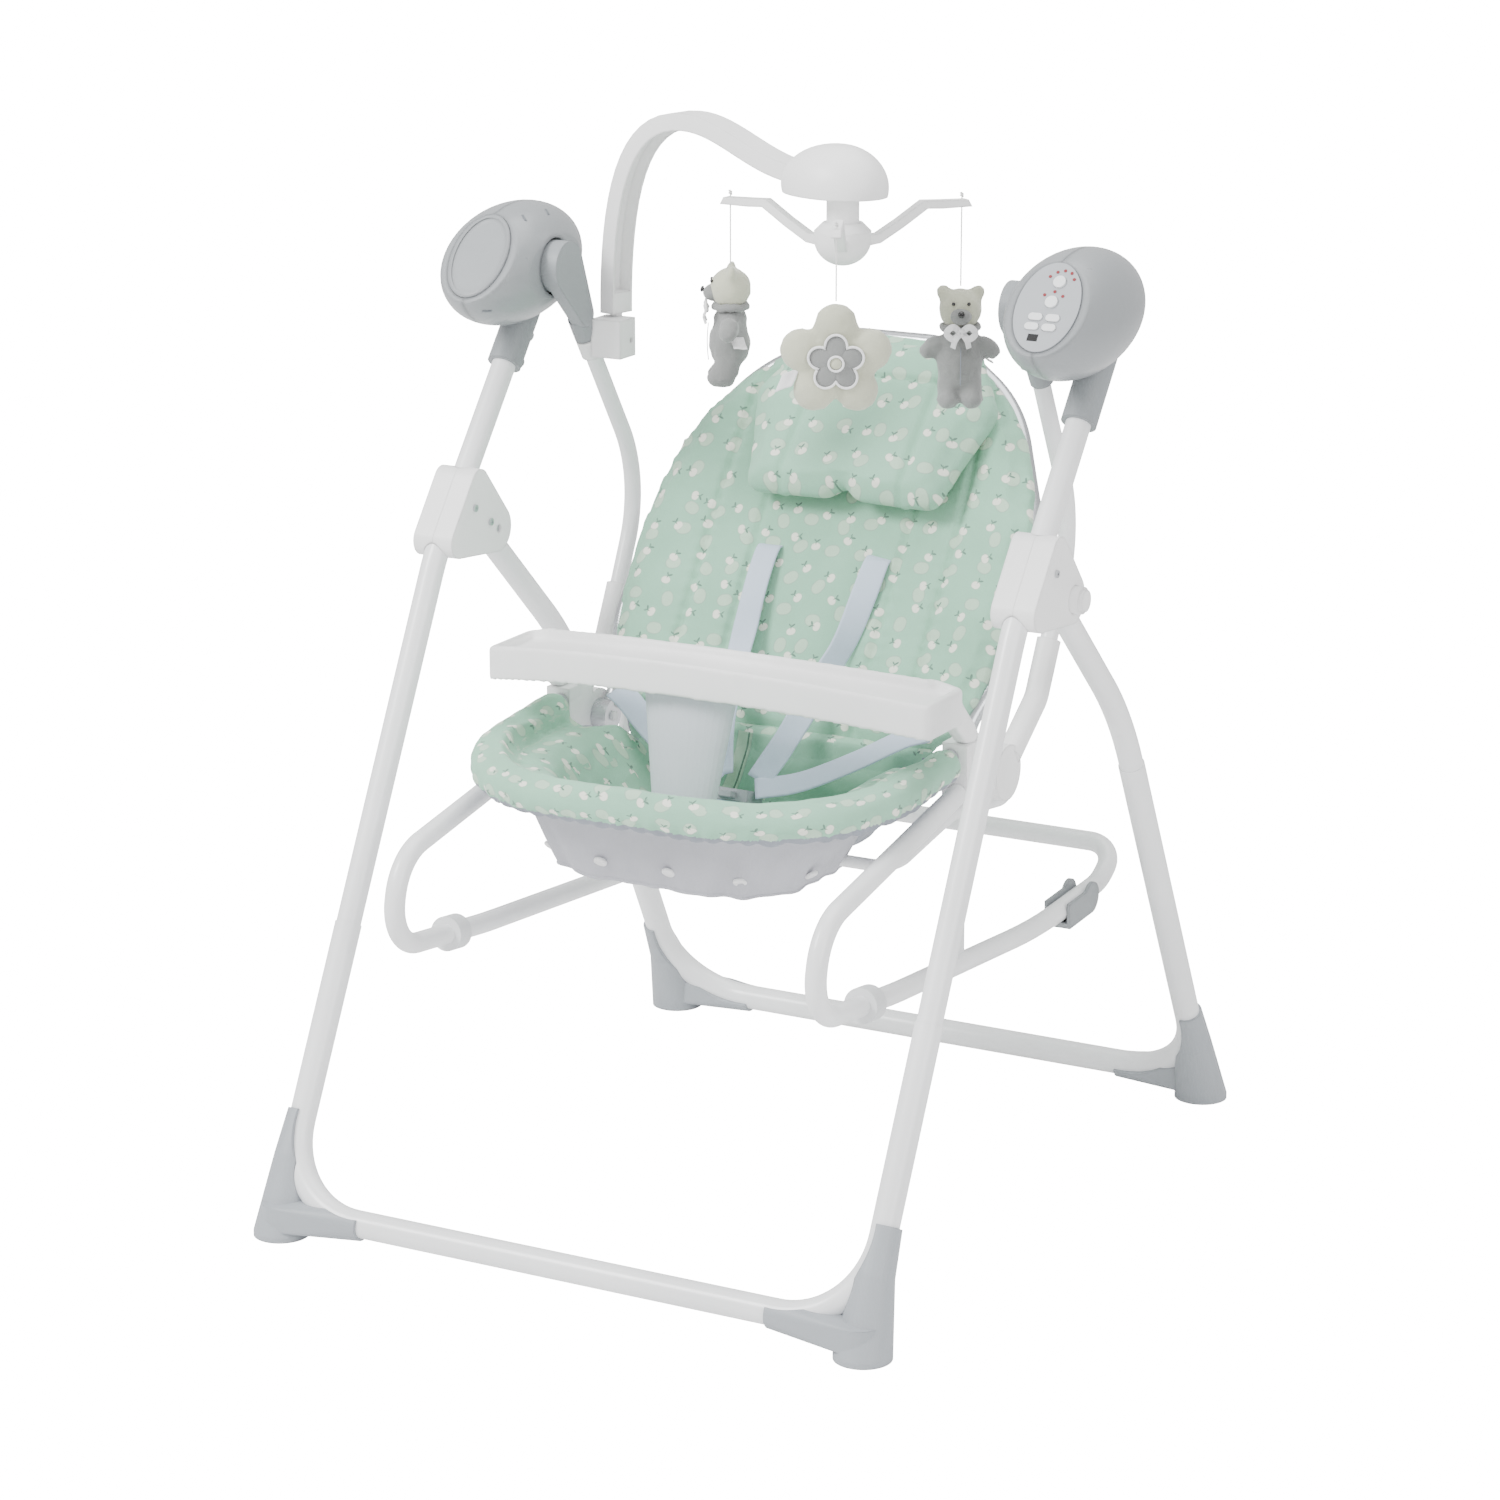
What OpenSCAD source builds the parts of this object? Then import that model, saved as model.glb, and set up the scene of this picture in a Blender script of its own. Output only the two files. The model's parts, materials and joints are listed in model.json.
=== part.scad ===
// Baby swing: folding stand, electric drive pods, hanging rocker seat with tray and toy mobile.
// Millimetres, +Z up, front of the seat towards -Y, origin on the floor midway between the feet.

/* [Stand] */
// Half of the distance between the two leg planes
leg_x = 309; // [300:1:320]
// Depth from the origin to the front crossbar
front_y = 382; // [360:1:400]
// Depth from the origin to the rear crossbar
rear_y = 382; // [365:1:405]
// Height of the crossbar centres
bar_z = 26; // [20:1:32]
// Diameter of the lower U-shaped tubes
base_d = 26; // [24:1:28]
// Diameter of the upper leg tubes
leg_d = 24; // [20:1:25]
// Wall of every steel tube
wall = 1.2; // [1:0.1:2]
// Bend radius of the U-shaped tubes at the feet
corner_r = 85; // [70:5:100]

/* [Drive pods] */
// Half of the distance between the two pod centres
pod_x = 301; // [295:1:310]
// Half of a pod's length
pod_half_l = 96; // [85:1:105]
// Half of a pod's width
pod_half_w = 57; // [50:1:60]
// Wall of the pod shells
shell = 3; // [2:0.5:4]

/* [Swing] */
// Diameter of the swing arm tubes
arm_d = 17; // [15:0.5:19]
// Diameter of the pivot axles
axle_d = 12; // [10:1:14]
// Radial running clearance of pins and axles
fit = 0.05; // [0.02:0.01:0.1]

/* [Seat] */
// Half of the seat rim's width
rim_x = 212; // [200:1:216]
// Diameter of the rocker tube
rocker_d = 20; // [18:1:22]
// Diameter of the padded rim roll
roll_d = 40; // [34:1:44]
// Recline of the backrest from vertical, at rest
recline = 35; // [30:1:40]
// Length of the backrest pad
back_l = 452; // [420:1:470]

/* [Tray] */
// Half of the tray's width
tray_x = 236; // [225:1:240]
// Height of the tray's top
tray_z = 548; // [540:1:556]

/* [Mobile] */
// Radius from the spindle to the toys
toy_r = 127; // [110:1:130]

/* [Hidden] */
$fn = 48;
hull_fn = 28;
gap = 0.3;
bend_grow = 0.04;
bend_lap = 0.3;
white = "whitesmoke";
grey = "darkgray";
green = "#a9cdb9";
steel = "silver";

// Stand: front leg bends at the knuckle, rear leg turns on the fold pin
front_foot = [leg_x, -front_y, bar_z];
rear_foot = [leg_x, rear_y, bar_z - 4];
knee = [leg_x, -90, 599];
fold = [leg_x, -8, 612];
seam_z = 273;
rear_seam_z = 405;
rear_knee = [leg_x, 154, 460];
tube_lean = 38.3;
leg_top = [leg_x, 41.7 + 63 * tan(tube_lean), 828];
socket_low = [leg_x, 41.7, 765];
function on_line(a, b, z) = a + (b - a) * (z - a.z) / (b.z - a.z);
front_seam = on_line(front_foot, knee, seam_z);
rear_seam = on_line(rear_foot, rear_knee, rear_seam_z);
fold_pin_r = 4;
fold_boss_r = 14;
knuckle_half = 22;
button_r = 12.8;
fold_angle = 42;
button_out = 12;

// Pods: an egg on a leaning axis, cut by the flat face that carries the panel or the cover
pivot = [0, 46, 866];
pod_lean = 9;
face = [0, -13.5, 880.4];
face_tilt = 90 - tube_lean;
panel_a = 31;
panel_b = 46;
pod_flat_x = 252;
hub_hole_r = 28;

// Swing arm: from the lever, out behind the backrest and forward to the seat's hub
arm_top = [247, 83, 809];
arm_knee = [240, 190, 630];
arm_low = [238, 128, 507];
sleeve_knee = [238, 113, 478];
hub = [0, 38, 424];
hub_r = 27;
hub_in = 203;
hub_out = 228.8;
peg_r = 8;
lift_dir = [0, -0.6, 0.8];

// Rocker base
rocker_x = 222;
rocker_front_top = [rocker_x, -298, 362];
rocker_front_low = [rocker_x, -318, 277];
rocker_back_z = 267;
rocker_back_y = 348;
stopper_y = 262;
stopper_z = 236.7;
stopper_pin_r = 3;

// Seat rim and tub
rim_front = -258;
rim_front_z = 429;
rim_back_z = 450.5;
rim_r = 8;
block = [221.7, -18];
block_top = 462;
recline_in = 184;
recline_pin_r = 4.95;
rim_corner = 140;
bar_d = 12;
tub_t = 17;

// Backrest outline: half width at each length along the backrest
back_w = [[22, 196], [60, 214], [120, 224], [180, 226], [240, 221], [290, 209], [335, 189],
          [372, 163], [402, 131], [426, 94], [442, 54], [back_l, 14]];
pad_t = 26;
pillow_w = 132;
pillow_off = 14;

// Tray
tray_h = 33;
tray_front = -170;
tray_back = -97;
arch_tray_r = 1111;

// Mobile
clip_at = [-229, 104, 797];
mast = [-225, 117, 812];
spindle = [58, 54, 954];
rotor_z = 918;
bowl_z = 915;
bowl_r = 27;
tip_z = 943;
first_toy = -65.3;
string_d = 1.4;
toy_tops = [878, 861, 879];

// Control panel: place of each key in the panel's plane, as x and y
round_keys = [[5, 26], [3, 5]];
oval_keys = [[-8, -11], [9, -11], [-9, -21], [8, -21]];
flange_h = 1.95;
light_spots = [[-6, 31], [0, 36], [7, 38], [14, 36], [18, 30], [-6, 12], [3, 16], [12, 12]];

// ---- shared shapes ----

function unit(v) = v / norm(v);
function flip(p) = [-p.x, p.y, p.z];

// Mirrors its children to the left side for side = -1
module on_side(side) {
    if (side > 0)
        children();
    else
        mirror([1, 0, 0]) children();
}

module both_sides() {
    for (side = [-1, 1]) on_side(side) children();
}

// Turns its children so that their +Z points along d
module aim(d) {
    rotate([0, acos(d.z / norm(d)), atan2(d.y, d.x)]) children();
}

module rod(a, b, r) {
    translate(a) aim(b - a) cylinder(h = norm(b - a), r = r);
}

// Cylinder along +X from x0 to x1, centred on the line y, z
module across(x0, x1, y, z, r) {
    translate([x0, y, z]) rotate([0, 90, 0]) cylinder(h = x1 - x0, r = r);
}

function turn_at(pts, i) =
    acos(unit(pts[i] - pts[i - 1]) * unit(pts[i + 1] - pts[i]));
function setback(pts, bends, i) =
    i == 0 || i == len(pts) - 1 ? 0 : bends[i] * tan(turn_at(pts, i) / 2);

// Straight length of bar or tube from a to b
module pipe(a, b, r, bore) {
    difference() {
        rod(a, b, r);
        if (bore > 0) rod(a - unit(b - a), b + unit(b - a), bore);
    }
}

// One bend of radius bend_r at point p, entering along u and leaving along w.
// It is a hair thicker than the straight lengths, which run a little way into it.
module elbow(p, u, w, bend_r, r, bore) {
    turn = acos(u * w);
    c = p + unit(w - u) * bend_r / cos(turn / 2);
    x = (p - u * bend_r * tan(turn / 2) - c) / bend_r;
    z = cross(x, u);
    multmatrix([[x.x, u.x, z.x, c.x], [x.y, u.y, z.y, c.y], [x.z, u.z, z.z, c.z], [0, 0, 0, 1]])
        rotate_extrude(angle = turn) translate([bend_r, 0]) difference() {
            circle(r + bend_grow);
            if (bore > 0) circle(bore - bend_grow);
        }
}

// Round tube through pts, with one bend radius for each point; a bar when it has no bore
module bent(pts, bends, r, bore = 0) {
    n = len(pts) - 1;
    for (i = [0 : n - 1]) {
        u = unit(pts[i + 1] - pts[i]);
        from = setback(pts, bends, i) - (i == 0 ? 0 : bend_lap);
        to = setback(pts, bends, i + 1) - (i == n - 1 ? 0 : bend_lap);
        pipe(pts[i] + u * from, pts[i + 1] - u * to, r, bore);
    }
    for (i = [1 : n - 1])
        elbow(pts[i], unit(pts[i] - pts[i - 1]), unit(pts[i + 1] - pts[i]), bends[i], r, bore);
}

// The same path, a little longer at both ends
function longer(pts, e) = let (n = len(pts) - 1)
    [for (i = [0 : n]) i == 0 ? pts[0] - unit(pts[1] - pts[0]) * e
        : i == n ? pts[n] + unit(pts[n] - pts[n - 1]) * e : pts[i]];

function ellipse(a, b, n = 48) = [for (i = [0 : n - 1]) [a * cos(360 * i / n), b * sin(360 * i / n)]];

// ---- stand ----

front_u = [flip(front_seam), flip(front_foot), front_foot, front_seam];
rear_u = [flip(rear_seam), flip(rear_foot), rear_foot, rear_seam];
u_bends = [0, corner_r, corner_r, 0];
front_leg_path = [front_seam + unit(knee - front_seam) * gap, knee, leg_top];
rear_leg_path = [fold, rear_knee, rear_seam + unit(rear_knee - rear_seam) * gap];
leg_bends = [0, 160, 0];
rear_bends = [0, 350, 0];

module front_base_tube() {
    color(white) bent(front_u, u_bends, base_d / 2, base_d / 2 - wall);
}

module rear_base_tube() {
    color(white) bent(rear_u, u_bends, base_d / 2, base_d / 2 - wall);
}

// The swaged end of a leg, which slips into the lower tube
module swage(at, towards) {
    u = unit(towards - at);
    pipe(at - u * 8, at + u * 38, base_d / 2 - wall - 0.1, leg_d / 2 - 2 * wall);
}

module front_leg(side) {
    color(white) on_side(side) {
        bent(front_leg_path, leg_bends, leg_d / 2, leg_d / 2 - wall);
        swage(front_seam, front_foot);
    }
}

module rear_leg(side) {
    color(white) on_side(side) {
        difference() {
            bent(rear_leg_path, rear_bends, leg_d / 2, leg_d / 2 - wall);
            across(leg_x - 20, leg_x + 20, fold.y, fold.z, fold_boss_r - 1);
        }
        difference() {
            across(leg_x - leg_d / 2, leg_x + leg_d / 2, fold.y, fold.z, fold_boss_r);
            across(leg_x - 20, leg_x + 20, fold.y, fold.z, fold_pin_r + fit);
        }
        swage(rear_seam, rear_foot);
    }
}

// Boot that cradles the outside of a base tube's bend, with a toe along the crossbar
module foot(at, up) {
    u = unit(up - at);
    foot_c = at + unit(u + [-1, 0, 0]) * corner_r * sqrt(2);
    n = cross(u, [1, 0, 0]);
    color(grey) difference() {
        union() {
            hull() {
                translate([at.x, at.y, 0]) cylinder(h = 5, r = 27, $fn = 40);
                translate(at + u * 48) aim(u) cylinder(h = 2, r = 18.5, $fn = 32);
            }
            hull() {
                translate(at + u * 48) aim(u) cylinder(h = 2, r = 18.5, $fn = 32);
                translate(at + u * 92) aim(u) cylinder(h = 2, r = base_d / 2 + 2.6, $fn = 32);
            }
            hull() {
                translate([at.x - 4, at.y, 9]) cylinder(h = 24, r = 22, $fn = 32);
                translate([at.x - 92, at.y, at.z]) rotate([0, 90, 0])
                    cylinder(h = 2, r = base_d / 2 + 2.6, $fn = 32);
            }
        }
        bent([at - [140, 0, 0], at, at + u * 140], [0, corner_r, 0], base_d / 2 + 0.05);
        translate(foot_c) aim(n) cylinder(h = 90, r = corner_r - 2, center = true);
    }
}

module front_feet() {
    both_sides() foot(front_foot, knee);
}

module rear_feet() {
    both_sides() foot(rear_foot, rear_knee);
}

// Side outline of the knuckle that joins the legs, in the plane y, z
module knuckle_outline() {
    hull() {
        translate([-79, 612]) circle(16);
        translate([-41, 662]) circle(15.5);
        translate([fold.y, fold.z]) circle(23);
    }
}

module yz_plate(x0, x1) {
    translate([x0, 0, 0]) rotate([90, 0, 90]) linear_extrude(x1 - x0) children();
}

// Room for the rear leg, from splayed to folded, in the plane y, z
module rear_leg_sweep() {
    lean = atan2(rear_knee.z - fold.z, rear_knee.y - fold.y);
    across(leg_x - leg_d / 2 - gap, leg_x + leg_d / 2 + gap, fold.y, fold.z, fold_boss_r + gap);
    yz_plate(leg_x - leg_d / 2 - gap, leg_x + leg_d / 2 + gap) translate([fold.y, fold.z]) {
        for (a = [0, -fold_angle]) rotate(lean + a)
            translate([0, -leg_d / 2 - gap]) square([80, leg_d + 2 * gap]);
        polygon([[0, 0], 80 * [cos(lean), sin(lean)],
                 90 * [cos(lean - fold_angle / 2), sin(lean - fold_angle / 2)],
                 80 * [cos(lean - fold_angle), sin(lean - fold_angle)]]);
    }
}

// Two half shells round the front leg, with a slot for the rear leg
module knuckle(side) {
    color(white) on_side(side)
        for (part = [0, 1]) difference() {
            yz_plate(leg_x + (part == 0 ? -knuckle_half : 0.1), leg_x + (part == 0 ? -0.1 : knuckle_half))
                knuckle_outline();
            bent(front_leg_path, leg_bends, leg_d / 2 + 0.05);
            rear_leg_sweep();
            across(leg_x - 30, leg_x + 30, fold.y, fold.z, fold_pin_r + 0.02);
            if (part == 1) across(leg_x + 15, leg_x + 30, fold.y, fold.z, button_r + gap);
        }
}

module knuckle_left() { knuckle(-1); }
module knuckle_right() { knuckle(1); }

module fold_pins() {
    color(steel) both_sides()
        across(leg_x - knuckle_half + 2, leg_x + 15, fold.y, fold.z, fold_pin_r);
}

module fold_button(side) {
    color(white) on_side(side) difference() {
        union() {
            across(leg_x + 18.5, leg_x + knuckle_half + button_out - 3, fold.y, fold.z, button_r);
            across(leg_x + 20, leg_x + knuckle_half + button_out, fold.y, fold.z, button_r - 2.5);
        }
        across(leg_x + 18, leg_x + 22, fold.y, fold.z, fold_pin_r + 2);
    }
}

module fold_button_left() { fold_button(-1); }
module fold_button_right() { fold_button(1); }

module front_leg_left() { front_leg(-1); }
module front_leg_right() { front_leg(1); }
module rear_leg_left() { rear_leg(-1); }
module rear_leg_right() { rear_leg(1); }

// ---- pods ----

// Egg of revolution, grown by g, cut by the face plane at depth d and by the flat inner side
module egg(g, d, flat) {
    l = pod_half_l + g;
    w = pod_half_w + g;
    intersection() {
        translate([pod_x, pivot.y, pivot.z]) rotate([pod_lean - 90, 0, 0])
            rotate_extrude() polygon([for (i = [-90 : 5 : 90]) [max(0, w * cos(i)), l * sin(i)]]);
        translate([pod_x, face.y, face.z]) rotate([face_tilt, 0, 0])
            translate([-100, -200, -400]) cube([200, 400, 400 - d]);
        translate([flat, -200, 600]) cube([200, 500, 500]);
    }
}

module in_face() {
    translate([pod_x, face.y, face.z]) rotate([face_tilt, 0, 0]) children();
}

tube_axis = unit(leg_top - socket_low);

module pod_shell() {
    difference() {
        egg(0, 0, pod_flat_x);
        egg(-shell, shell, pod_flat_x + shell);
        in_face() translate([0, 0, -10]) linear_extrude(20)
            polygon(ellipse(panel_a + 0.4, panel_b + 0.4));
        rod(socket_low, leg_top + tube_axis * 4, 17.2);
        across(pod_flat_x - 5, pod_flat_x + 10, pivot.y, pivot.z, hub_hole_r);
    }
    // Cup round the lever's hub, with the seat of the pivot bush
    difference() {
        union() {
            across(pod_flat_x + 0.5, pod_flat_x + 12, pivot.y, pivot.z, hub_hole_r + 2.5);
            across(pod_flat_x + 10, pod_flat_x + 32, pivot.y, pivot.z, axle_d / 2 + 6);
        }
        across(pod_flat_x - 1, pod_flat_x + 9.5, pivot.y, pivot.z, hub_hole_r);
        across(pod_flat_x + 5, pod_flat_x + 40, pivot.y, pivot.z, axle_d / 2 + 3);
    }
}

module pod_inner_shells() {
    color(grey) both_sides() intersection() {
        pod_shell();
        translate([200, -200, 600]) cube([pod_x - 200.05, 500, 500]);
    }
}

module pod_outer_shells() {
    color(grey) both_sides() intersection() {
        pod_shell();
        translate([pod_x + 0.05, -200, 600]) cube([200, 500, 500]);
    }
}

// Grey sleeve between the leg and the pod, with two screw bosses at the back
module pod_sockets() {
    color("gray") both_sides() difference() {
        union() {
            rod(socket_low, leg_top, 17);
            for (d = [14, 44])
                translate(socket_low + tube_axis * d) aim([0, tube_axis.z, -tube_axis.y])
                    cylinder(h = 23, r = 7);
        }
        bent(longer(front_leg_path, 2), leg_bends, leg_d / 2 + 0.05);
        for (d = [14, 44])
            translate(socket_low + tube_axis * d) aim([0, tube_axis.z, -tube_axis.y])
                cylinder(h = 25, r = 2.05);
    }
}

module battery_cover() {
    color(grey) mirror([1, 0, 0]) in_face() difference() {
        translate([0, 0, -3]) linear_extrude(4.5) polygon(ellipse(panel_a, panel_b));
        translate([0, 0, 0.5]) linear_extrude(3) polygon(ellipse(panel_a - 4, panel_b - 4));
    }
}

module key_hole(p, oval) {
    translate([p.x, p.y, -6]) linear_extrude(12)
        if (oval)
            key_outline(0.35);
        else
            circle(6.2);
}

// Rounded bar outline of an oval key
module key_outline(g) {
    square([6.5, 7 + 2 * g], center = true);
    for (s = [-1, 1]) translate([s * 3.25, 0]) circle(3.5 + g);
}

module control_panel() {
    color("lightgray") in_face() difference() {
        translate([0, 0, -3]) linear_extrude(4.5) polygon(ellipse(panel_a, panel_b));
        for (p = round_keys) key_hole(p, false);
        for (p = oval_keys) key_hole(p, true);
        for (p = light_spots) translate([p.x, p.y, -6]) cylinder(h = 12, r = 1.55);
        translate([-5, -32, -6]) linear_extrude(12) square([10.4, 7.4], center = true);
    }
}

module panel_lights() {
    color("firebrick") in_face() {
        for (p = light_spots) translate([p.x, p.y, -4]) cylinder(h = 6, r = 1.5);
        translate([-10, -35.5, -4]) cube([10, 7, 5.2]);
    }
}

module round_key(p) {
    color("white") in_face() translate([p.x, p.y, -5]) {
        cylinder(h = 8.5, r = 5.9);
        cylinder(h = flange_h, r = 7.4);
    }
}

module oval_key(p) {
    color("white") in_face() translate([p.x, p.y, -5]) {
        linear_extrude(8) key_outline(0);
        linear_extrude(flange_h) key_outline(1);
    }
}

module power_button() { round_key(round_keys[0]); }
module timer_button() { round_key(round_keys[1]); }
module music_button() { oval_key(oval_keys[0]); }
module volume_button() { oval_key(oval_keys[1]); }
module speed_button() { oval_key(oval_keys[2]); }
module sound_button() { oval_key(oval_keys[3]); }

module circuit_board() {
    color("seagreen") in_face() translate([0, 0, -12]) linear_extrude(1.6)
        polygon(ellipse(24, 38));
}

module battery_cells() {
    color("goldenrod") mirror([1, 0, 0])
        for (i = [0 : 3])
            across(289, 339, -1 + 27 * i, 859, 13);
}

// Coil that pushes the magnet on the right-hand axle once in each swing
module drive_coil() {
    color("peru") difference() {
        across(320, 330, pivot.y, pivot.z - 34, 11);
        across(319, 331, pivot.y, pivot.z - 34, 4);
    }
}

module drive_magnet() {
    color("dimgray") {
        difference() {
            hull() {
                across(306, 311, pivot.y, pivot.z, 10);
                across(306, 311, pivot.y, pivot.z - 34, 8);
            }
            across(305, 312, pivot.y, pivot.z, axle_d / 2);
        }
        across(311, 318, pivot.y, pivot.z - 34, 7);
    }
}

module pivot_bushes() {
    color("ivory") both_sides() difference() {
        across(pod_flat_x + 10, pod_flat_x + 31, pivot.y, pivot.z, axle_d / 2 + 2.95);
        across(pod_flat_x + 9, pod_flat_x + 32, pivot.y, pivot.z, axle_d / 2 + fit);
    }
}

module screw(at, dir, l) {
    translate(at) aim(dir) {
        cylinder(h = l, r = 2);
        translate([0, 0, l]) difference() {
            cylinder(h = 2, r = 3.6);
            translate([0, 0, 1]) cylinder(h = 2, r = 1.5, $fn = 6);
        }
    }
}

module frame_screws() {
    color(steel) both_sides() {
        for (d = [14, 44])
            screw(socket_low + tube_axis * d + [0, tube_axis.z, -tube_axis.y] * (leg_d / 2 + 0.1),
                [0, tube_axis.z, -tube_axis.y], 11);
        screw([leg_x - knuckle_half - 0.1, -52, 641], [-1, 0, 0], 0.1);
        screw([leg_x - knuckle_half - 0.1, -24, 622], [-1, 0, 0], 0.1);
        screw([leg_x + knuckle_half + 0.1, -50, 645], [1, 0, 0], 0.1);
    }
}

// ---- swing ----

arm_path = [arm_top, arm_knee, arm_low];
arm_bends = [0, 120, 0];
lever_dir = unit([0, arm_top.y - pivot.y, arm_top.z - pivot.z]);

module swing_levers() {
    color("gray") both_sides() difference() {
        union() {
            across(235.5, 260, pivot.y, pivot.z, hub_hole_r - 2.5);
            hull() {
                across(235.5, 249.5, pivot.y, pivot.z, hub_hole_r - 2.5, $fn = 32);
                across(235.5, 249.5, arm_top.y - 3, arm_top.z + 5, 12, $fn = 32);
            }
            rod(arm_top - lever_dir * 2, arm_top + lever_dir * 22, 11.6);
        }
        bent(longer(arm_path, 0.2), arm_bends, arm_d / 2 + 0.05);
        across(243, 261, pivot.y, pivot.z, axle_d / 2 + 0.02);
    }
}

module swing_axles() {
    color(steel) {
        on_side(1) across(243.1, 312, pivot.y, pivot.z, axle_d / 2);
        on_side(-1) across(243.1, 285, pivot.y, pivot.z, axle_d / 2);
    }
}

module swing_arm(side) {
    color(white) on_side(side) bent(arm_path, arm_bends, arm_d / 2, arm_d / 2 - wall);
}

module swing_arm_left() { swing_arm(-1); }
module swing_arm_right() { swing_arm(1); }

// Lower end fitting of each arm: a sleeve, and a disc with the slot that carries the seat
module arm_sleeves() {
    sleeve_end = [238, hub.y + 16, hub.z + 12];
    color(white) both_sides() difference() {
        union() {
            bent([arm_low + unit(arm_knee - arm_low) * 26, sleeve_knee, sleeve_end],
                [0, 30, 0], arm_d / 2 + 3.4);
            across(229.3, 246, hub.y, hub.z, hub_r);
        }
        bent(longer(arm_path, 0.2), arm_bends, arm_d / 2 + 0.05);
        across(200, 243, hub.y, hub.z, peg_r + gap);
        translate([200, hub.y, hub.z]) rotate([atan2(-lift_dir.y, lift_dir.z), 0, 0])
            translate([0, -peg_r - gap, 0]) cube([43, 2 * (peg_r + gap), 60]);
        translate([200, hub.y - 60, hub.z - 60]) cube([29.3, 200, 200]);
    }
}

// ---- mobile ----

module mobile_clip() {
    d = unit(arm_knee - arm_top);
    at = flip(on_line(arm_top, arm_knee, clip_at.z));
    color(white) difference() {
        union() {
            translate([clip_at.x - 8, clip_at.y - 16, clip_at.z - 26]) cube([33, 30, 38]);
            rod(at + flip(d) * 9, at + flip(d) * 30, arm_d / 2 + 3);
        }
        rod(flip(arm_top) - lever_dir * 3, flip(arm_top) + lever_dir * 22.1, 11.7);
        hull() {
            across(-249.7, -235.3, pivot.y, pivot.z, hub_hole_r - 2.3, $fn = 32);
            across(-249.7, -235.3, arm_top.y - 3, arm_top.z + 5, 12.2, $fn = 32);
        }
        rod(at - flip(d) * 60, at + flip(d) * 60, arm_d / 2 + 0.05);
        across(-260, -200, clip_at.y + 6, clip_at.z - 10, 2.6);
        translate([mast.x, mast.y, 790]) cylinder(h = 40, r = 6 + fit);
    }
}

mast_turn = atan2(spindle.y - mast.y, spindle.x - mast.x);
mast_span = norm([spindle.x - mast.x, spindle.y - mast.y]);
function bezier(p, t) = p[0] * pow(1 - t, 3) + 3 * p[1] * t * pow(1 - t, 2)
    + 3 * p[2] * t * t * (1 - t) + p[3] * pow(t, 3);
arch_steps = 16;
arch_up = [[0, 812.3], [0, 925], [22, 1009], [100, 1009]];
arch_down = [[100, 1009], [150, 1010], [190, 971], [250, 972]];
arm_line = concat([for (i = [0 : arch_steps - 1]) bezier(arch_up, i / arch_steps)],
                  [for (i = [0 : arch_steps]) bezier(arch_down, i / arch_steps)]);

// Point beside the arm's centre line, d to the inner side of the arch
function beside(i, d) = let (
    u = unit(arm_line[min(i + 1, len(arm_line) - 1)] - arm_line[max(i - 1, 0)]))
    arm_line[i] + d * [u.y, -u.x];

// Side view of the mobile's arm: up, over an arch and down in an S to the motor
module arm_ribbon(t) {
    n = len(arm_line) - 1;
    polygon(concat([for (i = [0 : n]) beside(i, t / 2)], [for (i = [n : -1 : 0]) beside(i, -t / 2)]));
}

// Side view of the groove in the arch's inner side, which fades out at the top
module arm_groove(t) {
    polygon(concat([for (i = [1 : arch_steps]) beside(i, t / 2 + 3)],
        [for (i = [arch_steps : -1 : 1]) beside(i, 3 - t / 2 + (t - 3) * pow(i / arch_steps, 3))]));
}

module mobile_arm() {
    color(white) translate([mast.x, mast.y, 0]) rotate(mast_turn) {
        rotate([90, 0, 0]) difference() {
            translate([0, 0, -14]) linear_extrude(28) arm_ribbon(17);
            translate([0, 0, -11]) linear_extrude(22) arm_groove(17);
        }
        translate([0, 0, 795]) cylinder(h = 18, r = 6);
        translate([0, 0, 812.2]) cylinder(h = 6, r = 8);
    }
}

// Half outline of the motor housing, g inside its surface: long towards the arm, blunt away from it
module head_profile(g) {
    polygon([for (i = [-90 : 6 : 90])
        [max(0, (40 - g) * cos(i)), ((i < 0 ? 64 : 50) - g) * sin(i)]]);
}

// Motor housing at the end of the arm, egg-shaped in side view
module mobile_motor_pod() {
    color(white) translate([spindle.x, spindle.y, 0]) rotate(mast_turn) {
        difference() {
            translate([-4, 0, 964]) intersection() {
                rotate([0, 90, 0]) rotate_extrude()
                    head_profile(0);
                translate([-100, -100, -8]) cube([200, 200, 200]);
            }
            translate([-4, 0, 964]) intersection() {
                rotate([0, 90, 0]) rotate_extrude()
                    head_profile(shell);
                translate([-100, -100, -5]) cube([200, 200, 200]);
            }
            translate([0, 0, 946]) cylinder(h = 14, r = 4 + fit);
            translate([-mast_span, 0, 0]) rotate([90, 0, 0]) translate([0, 0, -15])
                linear_extrude(30) arm_ribbon(17.2);
        }
        difference() {
            translate([-6, -10, 958.5]) cube([22, 20, 22]);
            translate([0, 0, 946]) cylinder(h = 20, r = 4 + fit);
        }
    }
}

function toy_at(i) = [spindle.x + toy_r * cos(first_toy + 120 * i),
                      spindle.y + toy_r * sin(first_toy + 120 * i)];

module rotor_arm() {
    rotate([90, 0, 0]) translate([0, 0, -5]) linear_extrude(10) {
        polygon([[22, rotor_z - 11], [38, rotor_z - 9], [62, rotor_z + 4], [88, rotor_z + 20],
                 [104, tip_z - 6], [toy_r + 9, tip_z - 6], [toy_r + 5, tip_z + 1],
                 [104, tip_z + 2], [84, rotor_z + 28], [58, rotor_z + 12], [36, rotor_z],
                 [22, rotor_z - 1]]);
    }
}

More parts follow.
